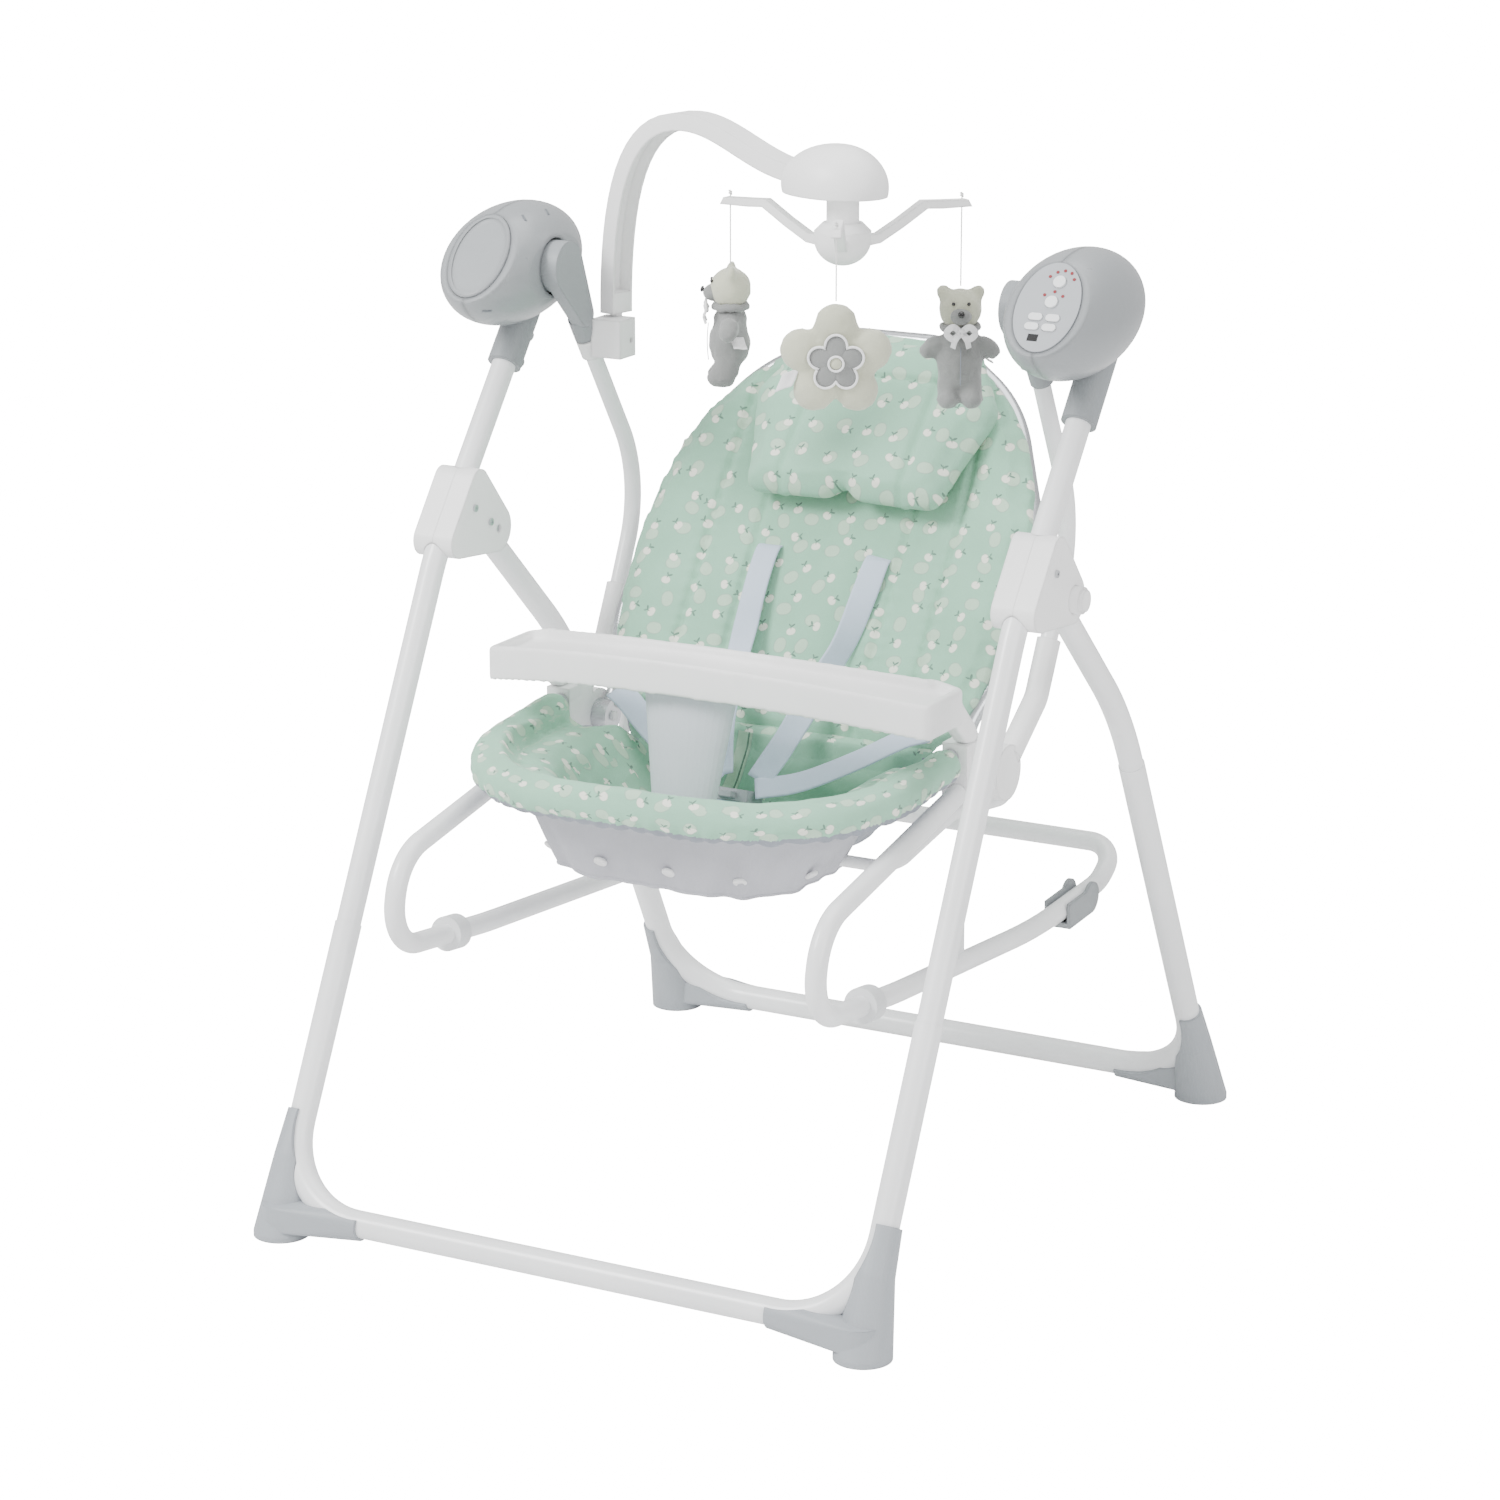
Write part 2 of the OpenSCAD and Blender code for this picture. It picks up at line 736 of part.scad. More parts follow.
module mobile_rotor() {
    color(white) translate([spindle.x, spindle.y, 0]) {
        difference() {
            union() {
                translate([0, 0, 928]) cylinder(h = 27, r = 15.5);
                translate([0, 0, bowl_z]) cylinder(h = 8, r = bowl_r);
                translate([0, 0, bowl_z + 7.9]) cylinder(h = 8, r1 = bowl_r, r2 = bowl_r - 8);
                translate([0, 0, bowl_z]) rotate_extrude() intersection() {
                    scale([bowl_r, bowl_r - 2]) circle(1, $fn = 96);
                    translate([0, -40]) square(40);
                }
                for (i = [0 : 2]) rotate(first_toy + 120 * i) rotor_arm();
            }
            translate([0, 0, bowl_z - 7]) cylinder(h = 14, r = 20);
            for (i = [0 : 2]) rotate(first_toy + 120 * i)
                translate([toy_r, 0, tip_z - 2]) for (s = [-1, 1]) scale([1, 1, s])
                    translate([0, 0, -0.5]) cylinder(h = 9, r1 = 0.8, r2 = 3.6);
        }
        translate([0, 0, 954]) cylinder(h = 10, r = 4);
    }
}

// Cord with a knot above the arm it hangs from
module string(i) {
    color("white") translate([toy_at(i).x, toy_at(i).y, toy_tops[i]]) {
        cylinder(h = tip_z + 4 - toy_tops[i], r = string_d / 2, $fn = 16);
        translate([0, 0, tip_z + 4.8 - toy_tops[i]]) sphere(2.1);
    }
}

module flower_string() { string(0); }
module bear_right_string() { string(1); }
module bear_left_string() { string(2); }

// Stuffed bear, h tall, facing its own -Y
module bear(i, turn) {
    at = toy_at(i);
    color("gray") translate([at.x, at.y, toy_tops[i] - 118]) rotate(turn) {
        hull() {
            translate([0, 0, 34]) sphere(22, $fn = hull_fn);
            translate([0, 0, 62]) sphere(18, $fn = hull_fn);
        }
        translate([0, 0, 96]) sphere(22);
        translate([0, -17, 92]) sphere(11);
        for (s = [-1, 1]) {
            translate([s * 14, 0, 112]) sphere(7);
            hull() {
                translate([s * 12, 0, 68]) sphere(8, $fn = hull_fn);
                translate([s * 30, -2, 56]) sphere(9, $fn = hull_fn);
            }
            hull() {
                translate([s * 9, -2, 26]) sphere(11, $fn = hull_fn);
                translate([s * 11, -8, 11]) sphere(11, $fn = hull_fn);
            }
        }
    }
}

module bear_right() { bear(1, 28); }
module bear_left() { bear(2, -62); }

module flower_toy() {
    color("khaki") translate([toy_at(0).x, toy_at(0).y, toy_tops[0] - 55]) rotate(28)
        rotate([90, 0, 0]) {
            sphere(26);
            for (i = [0 : 4]) rotate(90 + 72 * i) translate([33, 0, 0]) sphere(21);
            translate([0, 0, 14]) cylinder(h = 14, r = 24);
        }
}

// ---- seat ----

rocker_half = [[rocker_x - 3.6, hub.y, hub.z - 0.5], rocker_front_top, rocker_front_low,
               [rocker_x, -150, 257], [rocker_x, 160, 232], [rocker_x, 312, 239],
               [rocker_x, rocker_back_y, rocker_back_z]];
rocker_path = concat(rocker_half, [for (i = [6 : -1 : 0]) flip(rocker_half[i])]);
rocker_bends = [0, 55, 42, 900, 900, 55, 28, 28, 55, 900, 900, 42, 55, 0];

module rocker_tube() {
    color(white) difference() {
        bent(rocker_path, rocker_bends, rocker_d / 2, rocker_d / 2 - wall);
        both_sides() across(rocker_x - 15, rocker_x + 15, stopper_y, stopper_z, stopper_pin_r + fit);
    }
}

// Rubber rings at the front of the runners, and the small support tab on one of them
module rocker_fittings() {
    d = unit(rocker_path[3] - rocker_path[2]);
    color("gainsboro") {
        both_sides() {
            at = rocker_path[2] + d * 108;
            difference() {
                rod(at - d * 10, at + d * 10, 17);
                rod(at - d * 11, at + d * 11, rocker_d / 2 + 0.05);
            }
        }
        difference() {
            translate([rocker_x - 2, -24, 240]) cube([4, 16, 46]);
            bent(rocker_half, [0, 55, 42, 900, 900, 55, 0], rocker_d / 2 + 0.05);
        }
    }
}

// Hub blocks that hold the backrest, the rim, the rocker tube and the tray
module seat_hubs() {
    color(white) both_sides() difference() {
        union() {
            across(hub_in, hub_out, hub.y, hub.z, hub_r - 1);
            across(hub_out - 1, 242.5, hub.y, hub.z, peg_r);
            across(recline_in, hub_in + 1, hub.y, hub.z, recline_pin_r);
            translate([hub_in, block.y, 404]) cube([hub_out - hub_in, 46, block_top - 404]);
        }
        bent(longer(rocker_path, 0.2), rocker_bends, rocker_d / 2 + 0.05);
        bent(longer(rim_path, 0.2), rim_bends, rim_r + 0.05);
        bent(longer(seat_bar_path, 0.2), seat_bar_bends, bar_d / 2 + 0.05);
        translate([block.x, -7.3, block_top - 21]) cube([6.1, 12.6, 30]);
    }
}

rim_path = [[rim_x, 6, rim_back_z], [rim_x, rim_front, rim_front_z],
            [-rim_x, rim_front, rim_front_z], [-rim_x, 6, rim_back_z]];
rim_bends = [0, rim_corner, rim_corner, 0];

module seat_rim_tube() {
    color(steel) bent(rim_path, rim_bends, rim_r, rim_r - wall);
}

// Steel wire under the seat: out behind the hubs, under them and across below the seat
seat_bar_half = [[216, 56, 434], [216, 122, 426], [214, 104, 378], [206, 0, 388],
                 [192, -96, 358]];
seat_bar_path = concat(seat_bar_half, [for (i = [4 : -1 : 0]) flip(seat_bar_half[i])]);
seat_bar_bends = [0, 18, 24, 60, 24, 24, 60, 24, 18, 0];

module seat_bar() {
    color(white) bent(seat_bar_path, seat_bar_bends, bar_d / 2);
}

// Flat slab of the tub's plan outline at height z, half width w, from y0 back to y1
module tub_slab(w, y0, y1, z, h, r) {
    hull() {
        for (s = [-1, 1]) {
            translate([s * (w - r), y0 + r, z]) cylinder(h = h, r = r, $fn = 40);
            translate([s * (w - 12), y1 - 12, z]) cylinder(h = h, r = 12, $fn = 16);
        }
    }
}

function on_rim(x) = [x, -24, rim_back_z - 30 * (rim_back_z - rim_front_z) / (6 - rim_front)];

// Tub between the rim's plan outline and its floor, g thick inwards, lifted by up
module tub_shape(g, up) {
    hull() {
        tub_slab(rim_x - 6 - g, rim_front + 4 + g, 26, 428 + up, 4, rim_corner - g);
        tub_slab(160 - g, -222 + g, 26, 404 + up, 4, 95 - g);
    }
    hull() {
        tub_slab(160 - g, -222 + g, 26, 404 + up, 4, 95 - g);
        tub_slab(112 - g, -190 + g, 26, 346 + up, 4, 60 - g);
    }
}

// Padded seat: a roll round the rim tube, a tub and a panel that closes its back
module seat_pad() {
    color(green) {
        difference() {
            tub_shape(0, 0);
            tub_shape(tub_t, tub_t + 2);
            translate([-300, 2, 366]) cube([600, 100, 120]);
        }
        hull() {
            translate([-104, 5, 347]) cube([208, 20, 8]);
            translate([-150, 12, 395]) cube([300, 19, 8]);
        }
        hull() {
            translate([-150, 12, 395]) cube([300, 19, 8]);
            translate([-172, 27, 422]) cube([344, 17, 9]);
        }
        bent([on_rim(rim_x), rim_path[1], rim_path[2], on_rim(-rim_x)], rim_bends, roll_d / 2);
    }
}

module harness_buckle() {
    color("white") translate([0, -54, 385]) rotate([-20, 0, 0]) {
        difference() {
            translate([-22, -16, 0]) cube([44, 32, 12]);
            translate([-12, -4, 8]) cube([24, 8, 6]);
        }
        translate([-9, -26, 3]) cube([18, 12, 6]);
    }
}

// ---- backrest ----

// Places its children in the backrest's plane: x across, y up along it, z towards the front
module in_back() {
    translate([0, hub.y, hub.z]) rotate([90 - recline, 0, 0]) children();
}

module backrest_tube() {
    half = [[193, 10, 0], [193, 46, 0], [210, 100, 0], [204, 250, 0], [150, 372, 0], [62, 432, 0]];
    pts = concat(half, [for (i = [5 : -1 : 0]) flip(half[i])]);
    color(steel) in_back() {
        bent(pts, [0, 60, 90, 160, 150, 90, 90, 150, 160, 90, 60, 0], rim_r, rim_r - wall);
        both_sides() difference() {
            across(186.5, 202.7, 0, 0, 16);
            across(180, 210, 0, 0, recline_pin_r + fit);
        }
    }
}

module back_outline(g) {
    polygon(concat([for (p = back_w) [p[1] + g, p[0]]],
                   [for (i = [len(back_w) - 1 : -1 : 0]) [-back_w[i][1] - g, back_w[i][0]]]));
}

module backrest_pad() {
    color(green) in_back() translate([0, 0, -pad_t / 2]) linear_extrude(pad_t) back_outline(0);
}

// Wedge-shaped pillow that hangs from the top of the backrest
module head_pillow() {
    color(green) in_back() translate([pillow_off, 0, 0]) hull() {
        translate([0, 415, pad_t / 2 + 10]) rotate([0, 90, 0])
            cylinder(h = 2 * pillow_w - 68, r = 9, center = true, $fn = 24);
        for (s = [-1, 1]) {
            translate([s * (pillow_w - 4), 350, pad_t / 2 + 13]) sphere(12, $fn = 24);
            translate([s * (pillow_w - 36), 246, pad_t / 2 + 32]) sphere(15, $fn = 24);
        }
    }
}

// ---- tray ----

module tray_outline(g) {
    offset(r = 8 + g) offset(delta = -8) polygon(concat(
        [for (i = [-8 : 8]) [i * tray_x / 8, tray_front + 55 * pow(i / 8, 2)]],
        [[tray_x, -38], [204, -38]],
        [for (i = [6 : -1 : -6]) [i * 200 / 6, tray_back + 52 * pow(i / 6, 2)]],
        [[-204, -38], [-tray_x, -38]]));
}

// Layer of the tray's arch between two depths below its top
module arch_layer(top, bottom) {
    translate([0, 0, tray_z - arch_tray_r]) rotate([90, 0, 0]) difference() {
        cylinder(h = 500, r = arch_tray_r - top, center = true, $fn = 240);
        cylinder(h = 501, r = arch_tray_r - bottom, center = true, $fn = 240);
    }
}

module tray_part(g, top, bottom) {
    intersection() {
        translate([0, 0, tray_z - 100]) linear_extrude(150) tray_outline(g);
        arch_layer(top, bottom);
    }
}

module tray() {
    color(white) {
        difference() {
            tray_part(0, 0, tray_h);
            tray_part(-8, -5, 9);
            tray_part(-3, 12, tray_h + 5);
        }
        both_sides() {
            hull() {
                translate([214, -62, 502]) cube([17, 24, 12]);
                translate([213, -14, block_top + gap]) cube([15, 24, 8]);
            }
            translate([block.x + gap, -7, block_top - 20]) cube([5.5, 12, 22]);
        }
    }
}

// Soft-edged post from the tray down between the legs
module crotch_post() {
    color("lightsteelblue") hull() {
        translate([0, -134, tray_z - 18]) linear_extrude(4.8) polygon(ellipse(51, 19, 32));
        translate([0, -152, 408]) linear_extrude(4) polygon(ellipse(33, 13, 32));
    }
}

// ---- rocker stoppers ----

// Grey channel that straddles the runner and turns down to stop the rocking
module stopper(side) {
    slope = atan2(rocker_half[5].z - rocker_half[4].z, rocker_half[5].y - rocker_half[4].y);
    color("gray") on_side(side) translate([0, stopper_y, stopper_z]) rotate([slope, 0, 0])
        translate([0, -stopper_y, -stopper_z]) {
        difference() {
            union() {
                across(rocker_x - 14, rocker_x + 14, stopper_y, stopper_z, 16);
                translate([rocker_x - 14, stopper_y - 54, stopper_z - 16]) cube([28, 54, 26]);
            }
            translate([rocker_x - 10.5, stopper_y - 80, stopper_z - 10.5]) cube([21, 120, 60]);
            translate([rocker_x - 10.5, stopper_y - 12, stopper_z - 30]) cube([21, 60, 60]);
        }
        across(rocker_x - 12, rocker_x + 12, stopper_y, stopper_z, stopper_pin_r);
    }
}

module stopper_left() { stopper(-1); }
module stopper_right() { stopper(1); }

front_base_tube();
front_leg_left();
front_leg_right();
knuckle_left();
knuckle_right();
fold_pins();
front_feet();
pod_sockets();
pod_inner_shells();
pod_outer_shells();
battery_cover();
control_panel();
battery_cells();
circuit_board();
drive_coil();
pivot_bushes();
frame_screws();
panel_lights();
rear_base_tube();
rear_leg_left();
rear_leg_right();
rear_feet();
fold_button_left();
fold_button_right();
power_button();
timer_button();
music_button();
volume_button();
speed_button();
sound_button();
swing_levers();
swing_axles();
swing_arm_left();
swing_arm_right();
arm_sleeves();
drive_magnet();
mobile_clip();
mobile_arm();
mobile_motor_pod();
mobile_rotor();
bear_left();
bear_right();
flower_toy();
bear_left_string();
bear_right_string();
flower_string();
rocker_tube();
rocker_fittings();
seat_hubs();
seat_rim_tube();
seat_bar();
seat_pad();
harness_buckle();
backrest_tube();
backrest_pad();
head_pillow();
tray();
crotch_post();
stopper_left();
stopper_right();
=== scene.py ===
# Baby swing: camera, materials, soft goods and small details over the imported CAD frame.
import json
import math

import bpy
import bmesh
from mathutils import Matrix, Vector, noise

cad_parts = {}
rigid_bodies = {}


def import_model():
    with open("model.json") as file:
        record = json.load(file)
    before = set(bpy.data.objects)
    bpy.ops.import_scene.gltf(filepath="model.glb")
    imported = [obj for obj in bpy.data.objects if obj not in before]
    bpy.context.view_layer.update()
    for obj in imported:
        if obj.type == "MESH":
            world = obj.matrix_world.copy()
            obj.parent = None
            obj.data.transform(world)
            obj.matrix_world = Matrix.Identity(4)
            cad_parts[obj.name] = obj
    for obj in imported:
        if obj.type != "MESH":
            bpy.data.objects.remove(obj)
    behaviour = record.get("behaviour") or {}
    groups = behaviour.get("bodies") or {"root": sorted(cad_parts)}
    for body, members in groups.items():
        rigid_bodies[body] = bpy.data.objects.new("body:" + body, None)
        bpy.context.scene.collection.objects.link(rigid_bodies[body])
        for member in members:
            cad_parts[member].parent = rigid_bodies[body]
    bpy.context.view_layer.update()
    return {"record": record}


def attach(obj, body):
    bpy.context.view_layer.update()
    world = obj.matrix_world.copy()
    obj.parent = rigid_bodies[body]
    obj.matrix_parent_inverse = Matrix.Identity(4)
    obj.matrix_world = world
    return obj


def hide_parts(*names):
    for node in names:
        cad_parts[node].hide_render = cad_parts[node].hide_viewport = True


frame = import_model()

# Backrest hinge and slope, mobile spindle, and the toys' hanging places, as in the CAD source
HUB = Vector((0, 0.038, 0.424))
RECLINE = math.radians(35)
SPINDLE = Vector((0.058, 0.054, 0.954))
TOY_R = 0.127
TOY_TOPS = {"flower": 0.878, "bear_right": 0.861, "bear_left": 0.879}
TOY_AZ = {"flower": -65.3, "bear_right": 54.7, "bear_left": 174.7}
TIP_Z = 0.943


def back(x, s, t):
    """A point on the backrest: x across, s up along it, t towards its front, in metres."""
    return Vector((x, HUB.y + s * math.sin(RECLINE) - t * math.cos(RECLINE),
                   HUB.z + s * math.cos(RECLINE) + t * math.sin(RECLINE)))


def toy_xy(name):
    """Where a toy's cord hangs, seen from above."""
    a = math.radians(TOY_AZ[name])
    return SPINDLE.x + TOY_R * math.cos(a), SPINDLE.y + TOY_R * math.sin(a)


# ---- camera ----
cam = bpy.data.objects.new("camera", bpy.data.cameras.new("camera"))
bpy.context.collection.objects.link(cam)
bpy.context.scene.camera = cam
cam.data.sensor_width = 36
cam.data.lens = 106.3
cam.data.clip_end = 50
azimuth, elevation = math.radians(28.472), math.radians(15.638)
behind = Vector((math.sin(azimuth) * math.cos(elevation), -math.cos(azimuth) * math.cos(elevation),
                 math.sin(elevation)))
cam.location = (1.94966, -3.61638, 1.57296)
cam.rotation_mode = "QUATERNION"
cam.rotation_quaternion = (-behind).to_track_quat("-Z", "Y")


# ---- node helpers ----
def rgb(hexa, gain=1.0):
    """Linear colour of an sRGB hex string."""
    c = [int(hexa[i:i + 2], 16) / 255 for i in (0, 2, 4)]
    c = [(x / 12.92 if x <= 0.04045 else ((x + 0.055) / 1.055) ** 2.4) * gain for x in c]
    return (*c, 1.0)


class Nodes:
    """Short-hand for building a node tree."""

    def __init__(self, tree):
        self.t = tree

    def new(self, kind, **props):
        n = self.t.nodes.new(kind)
        for k, v in props.items():
            setattr(n, k, v)
        return n

    def put(self, socket, value):
        if isinstance(value, bpy.types.NodeSocket):
            self.t.links.new(value, socket)
        elif value is not None:
            socket.default_value = value

    def math(self, op, a, b=None, c=None):
        n = self.new("ShaderNodeMath", operation=op)
        for s, v in zip(n.inputs, (a, b, c)):
            self.put(s, v)
        return n.outputs[0]

    def vec(self, op, a, b=None, scale=None):
        n = self.new("ShaderNodeVectorMath", operation=op)
        self.put(n.inputs[0], a)
        self.put(n.inputs[1], b)
        if scale is not None:
            self.put(n.inputs[3], scale)
        return n.outputs[1] if op in ("LENGTH", "DISTANCE", "DOT_PRODUCT") else n.outputs[0]

    def mix(self, f, a, b):
        n = self.new("ShaderNodeMix", data_type="RGBA")
        self.put(n.inputs[0], f)
        self.put(n.inputs[6], a)
        self.put(n.inputs[7], b)
        return n.outputs[2]

    def noise(self, vector, scale, detail=3.0, rough=0.5):
        n = self.new("ShaderNodeTexNoise")
        self.put(n.inputs["Vector"], vector)
        self.put(n.inputs["Scale"], scale)
        self.put(n.inputs["Detail"], detail)
        self.put(n.inputs["Roughness"], rough)
        return n.outputs[0]

    def ramp(self, f, lo, hi, a=0.0, b=1.0):
        n = self.new("ShaderNodeMapRange", interpolation_type="SMOOTHSTEP")
        for s, v in zip(n.inputs, (f, lo, hi, a, b)):
            self.put(s, v)
        return n.outputs[0]

    def bump(self, height, strength, distance, normal=None):
        n = self.new("ShaderNodeBump")
        self.put(n.inputs["Strength"], strength)
        self.put(n.inputs["Distance"], distance)
        self.put(n.inputs["Height"], height)
        self.put(n.inputs["Normal"], normal)
        return n.outputs[0]

    def place(self):
        return self.new("ShaderNodeTexCoord").outputs["Object"]


def material(name):
    m = bpy.data.materials.new(name)
    m.use_nodes = True
    n = Nodes(m.node_tree)
    return m, n, m.node_tree.nodes["Principled BSDF"]


def hard(name, hexa, rough, coat=0.0, grain=900.0, bump=0.06, metal=0.0, vary=0.03, edge=0.0):
    """Moulded plastic, powder coat or metal: fine grain, slight variation, and edges eased by edge metres."""
    m, n, b = material(name)
    p = n.place()
    soft = n.noise(p, 9.0, 4.0)
    c0, c1 = rgb(hexa, 1 - vary), rgb(hexa, 1 + vary)
    n.put(b.inputs["Base Color"], n.mix(n.ramp(soft, 0.3, 0.7), c0, c1))
    fine = n.noise(p, grain, 2.0)
    rough_v = n.math("ADD", n.math("MULTIPLY", n.math("SUBTRACT", n.noise(p, 60.0, 3.0), 0.5), 0.12), rough)
    n.put(b.inputs["Roughness"], rough_v)
    b.inputs["Metallic"].default_value = metal
    b.inputs["Coat Weight"].default_value = coat
    b.inputs["Coat Roughness"].default_value = 0.18
    eased = None
    if edge:
        bevel = n.new("ShaderNodeBevel", samples=4)
        bevel.inputs["Radius"].default_value = edge
        eased = bevel.outputs[0]
    n.put(b.inputs["Normal"], n.bump(fine, bump, 0.0006, eased))
    return m


def cloth(name, hexa, weave=1500.0, wrinkle=0.35, fuzz=0.25, vary=0.05):
    """Plain woven or knitted cloth."""
    m, n, b = material(name)
    p = n.place()
    big = n.noise(p, 14.0, 4.0)
    base = n.mix(n.ramp(big, 0.3, 0.7), rgb(hexa, 1 - vary), rgb(hexa, 1 + vary))
    finish_cloth(n, b, p, base, weave, wrinkle, fuzz)
    return m


def finish_cloth(n, b, p, base, weave, wrinkle, fuzz):
    """Threads, soft wrinkles and sheen over a base colour."""
    wx = n.new("ShaderNodeTexWave", wave_type="BANDS", bands_direction="X")
    wy = n.new("ShaderNodeTexWave", wave_type="BANDS", bands_direction="DIAGONAL")
    for w in (wx, wy):
        n.put(w.inputs["Vector"], p)
        n.put(w.inputs["Scale"], weave / 6.28)
        n.put(w.inputs["Distortion"], 0.4)
    threads = n.math("ADD", wx.outputs["Fac"], wy.outputs["Fac"])
    folds = n.noise(p, 26.0, 5.0, 0.55)
    fine = n.bump(threads, 0.12, 0.0003)
    n.put(b.inputs["Normal"], n.bump(folds, wrinkle, 0.004, fine))
    shade = n.ramp(n.noise(p, weave, 1.0), 0.3, 0.7)
    dark = n.vec("MULTIPLY", base, (0.93, 0.93, 0.93))
    n.put(b.inputs["Base Color"], n.mix(shade, dark, base))
    b.inputs["Roughness"].default_value = 0.88
    b.inputs["Specular IOR Level"].default_value = 0.25
    b.inputs["Sheen Weight"].default_value = fuzz
    b.inputs["Sheen Roughness"].default_value = 0.5


def motif(n, uv, cell, seed):
    """Scattered cells: gives the turned local position, in metres, round each cell's own centre."""
    grid = n.vec("SCALE", uv, scale=1.0 / cell)
    grid = n.vec("ADD", grid, (seed, seed * 0.37, 0.0))
    whole = n.vec("FLOOR", grid)
    local = n.vec("SUBTRACT", n.vec("SUBTRACT", grid, whole), (0.5, 0.5, 0.0))
    rnd = n.new("ShaderNodeTexWhiteNoise", noise_dimensions="2D")
    n.put(rnd.inputs["Vector"], whole)
    shift = n.vec("SCALE", n.vec("SUBTRACT", rnd.outputs["Color"], (0.5, 0.5, 0.5)), scale=0.36)
    local = n.vec("SUBTRACT", local, n.vec("MULTIPLY", shift, (1.0, 1.0, 0.0)))
    turn = n.new("ShaderNodeVectorRotate", rotation_type="Z_AXIS")
    n.put(turn.inputs["Vector"], local)
    n.put(turn.inputs["Angle"], n.math("MULTIPLY", n.math("SUBTRACT", rnd.outputs["Value"], 0.5), 3.2))
    return n.vec("SCALE", turn.outputs[0], scale=cell)


def fruit(n, q, r):
    """Distance, in metres, outside an apple outline made of two lobes."""
    d1 = n.vec("LENGTH", n.vec("SUBTRACT", q, (r * 0.26, 0.0, 0.0)))
    d2 = n.vec("LENGTH", n.vec("ADD", q, (r * 0.26, 0.0, 0.0)))
    return n.math("SUBTRACT", n.math("SMOOTH_MIN", d1, d2, r * 0.5), r * 0.72)


def blob(n, q, at, size, angle):
    """Distance, in metres, outside a small ellipse."""
    moved = n.vec("SUBTRACT", q, (at[0], at[1], 0.0))
    turn = n.new("ShaderNodeVectorRotate", rotation_type="Z_AXIS")
    n.put(turn.inputs["Vector"], moved)
    n.put(turn.inputs["Angle"], angle)
    stretched = n.vec("MULTIPLY", turn.outputs[0], (1.0, size[0] / size[1], 0.0))
    return n.math("SUBTRACT", n.vec("LENGTH", stretched), size[0])


def printed_cloth(name, hexa):
    """Mint cloth with a small fruit print; the print follows the mesh's own UV map, in metres."""
    m, n, b = material(name)
    uv = n.new("ShaderNodeUVMap", uv_map="UVMap").outputs[0]
    p = n.place()
    big = n.noise(p, 14.0, 4.0)
    col = n.mix(n.ramp(big, 0.3, 0.7), rgb(hexa, 0.95), rgb(hexa, 1.04))
    q = motif(n, uv, 0.033, 7.3)
    d = fruit(n, q, 0.0085)
    edge = n.ramp(n.math("ABSOLUTE", n.math("ADD", d, 0.0002)), 0.0002, 0.0009, 1.0, 0.0)
    col = n.mix(n.math("MULTIPLY", n.ramp(d, 0.0004, -0.0004), 0.55), col, rgb("cfdfc9"))
    col = n.mix(n.math("MULTIPLY", edge, 0.45), col, rgb("86a595"))
    q = motif(n, uv, 0.030, 31.9)
    d = fruit(n, q, 0.0050)
    leaf = blob(n, q, (0.0024, 0.0060), (0.0026, 0.0010), -0.5)
    leaf2 = blob(n, q, (-0.0012, 0.0070), (0.0016, 0.0006), 1.2)
    stem = blob(n, q, (0.0, 0.0048), (0.0005, 0.0026), 0.0)
    green = n.math("MINIMUM", n.math("MINIMUM", leaf, leaf2), stem)
    edge = n.ramp(n.math("ABSOLUTE", d), 0.0002, 0.0008, 1.0, 0.0)
    col = n.mix(n.ramp(d, 0.0004, -0.0004), col, rgb("eef0e2"))
    col = n.mix(n.math("MULTIPLY", edge, 0.3), col, rgb("9db3a2"))
    col = n.mix(n.ramp(green, 0.0003, -0.0003), col, rgb("6b8a7a"))
    finish_cloth(n, b, p, col, 1500.0, 0.3, 0.2)
    return m


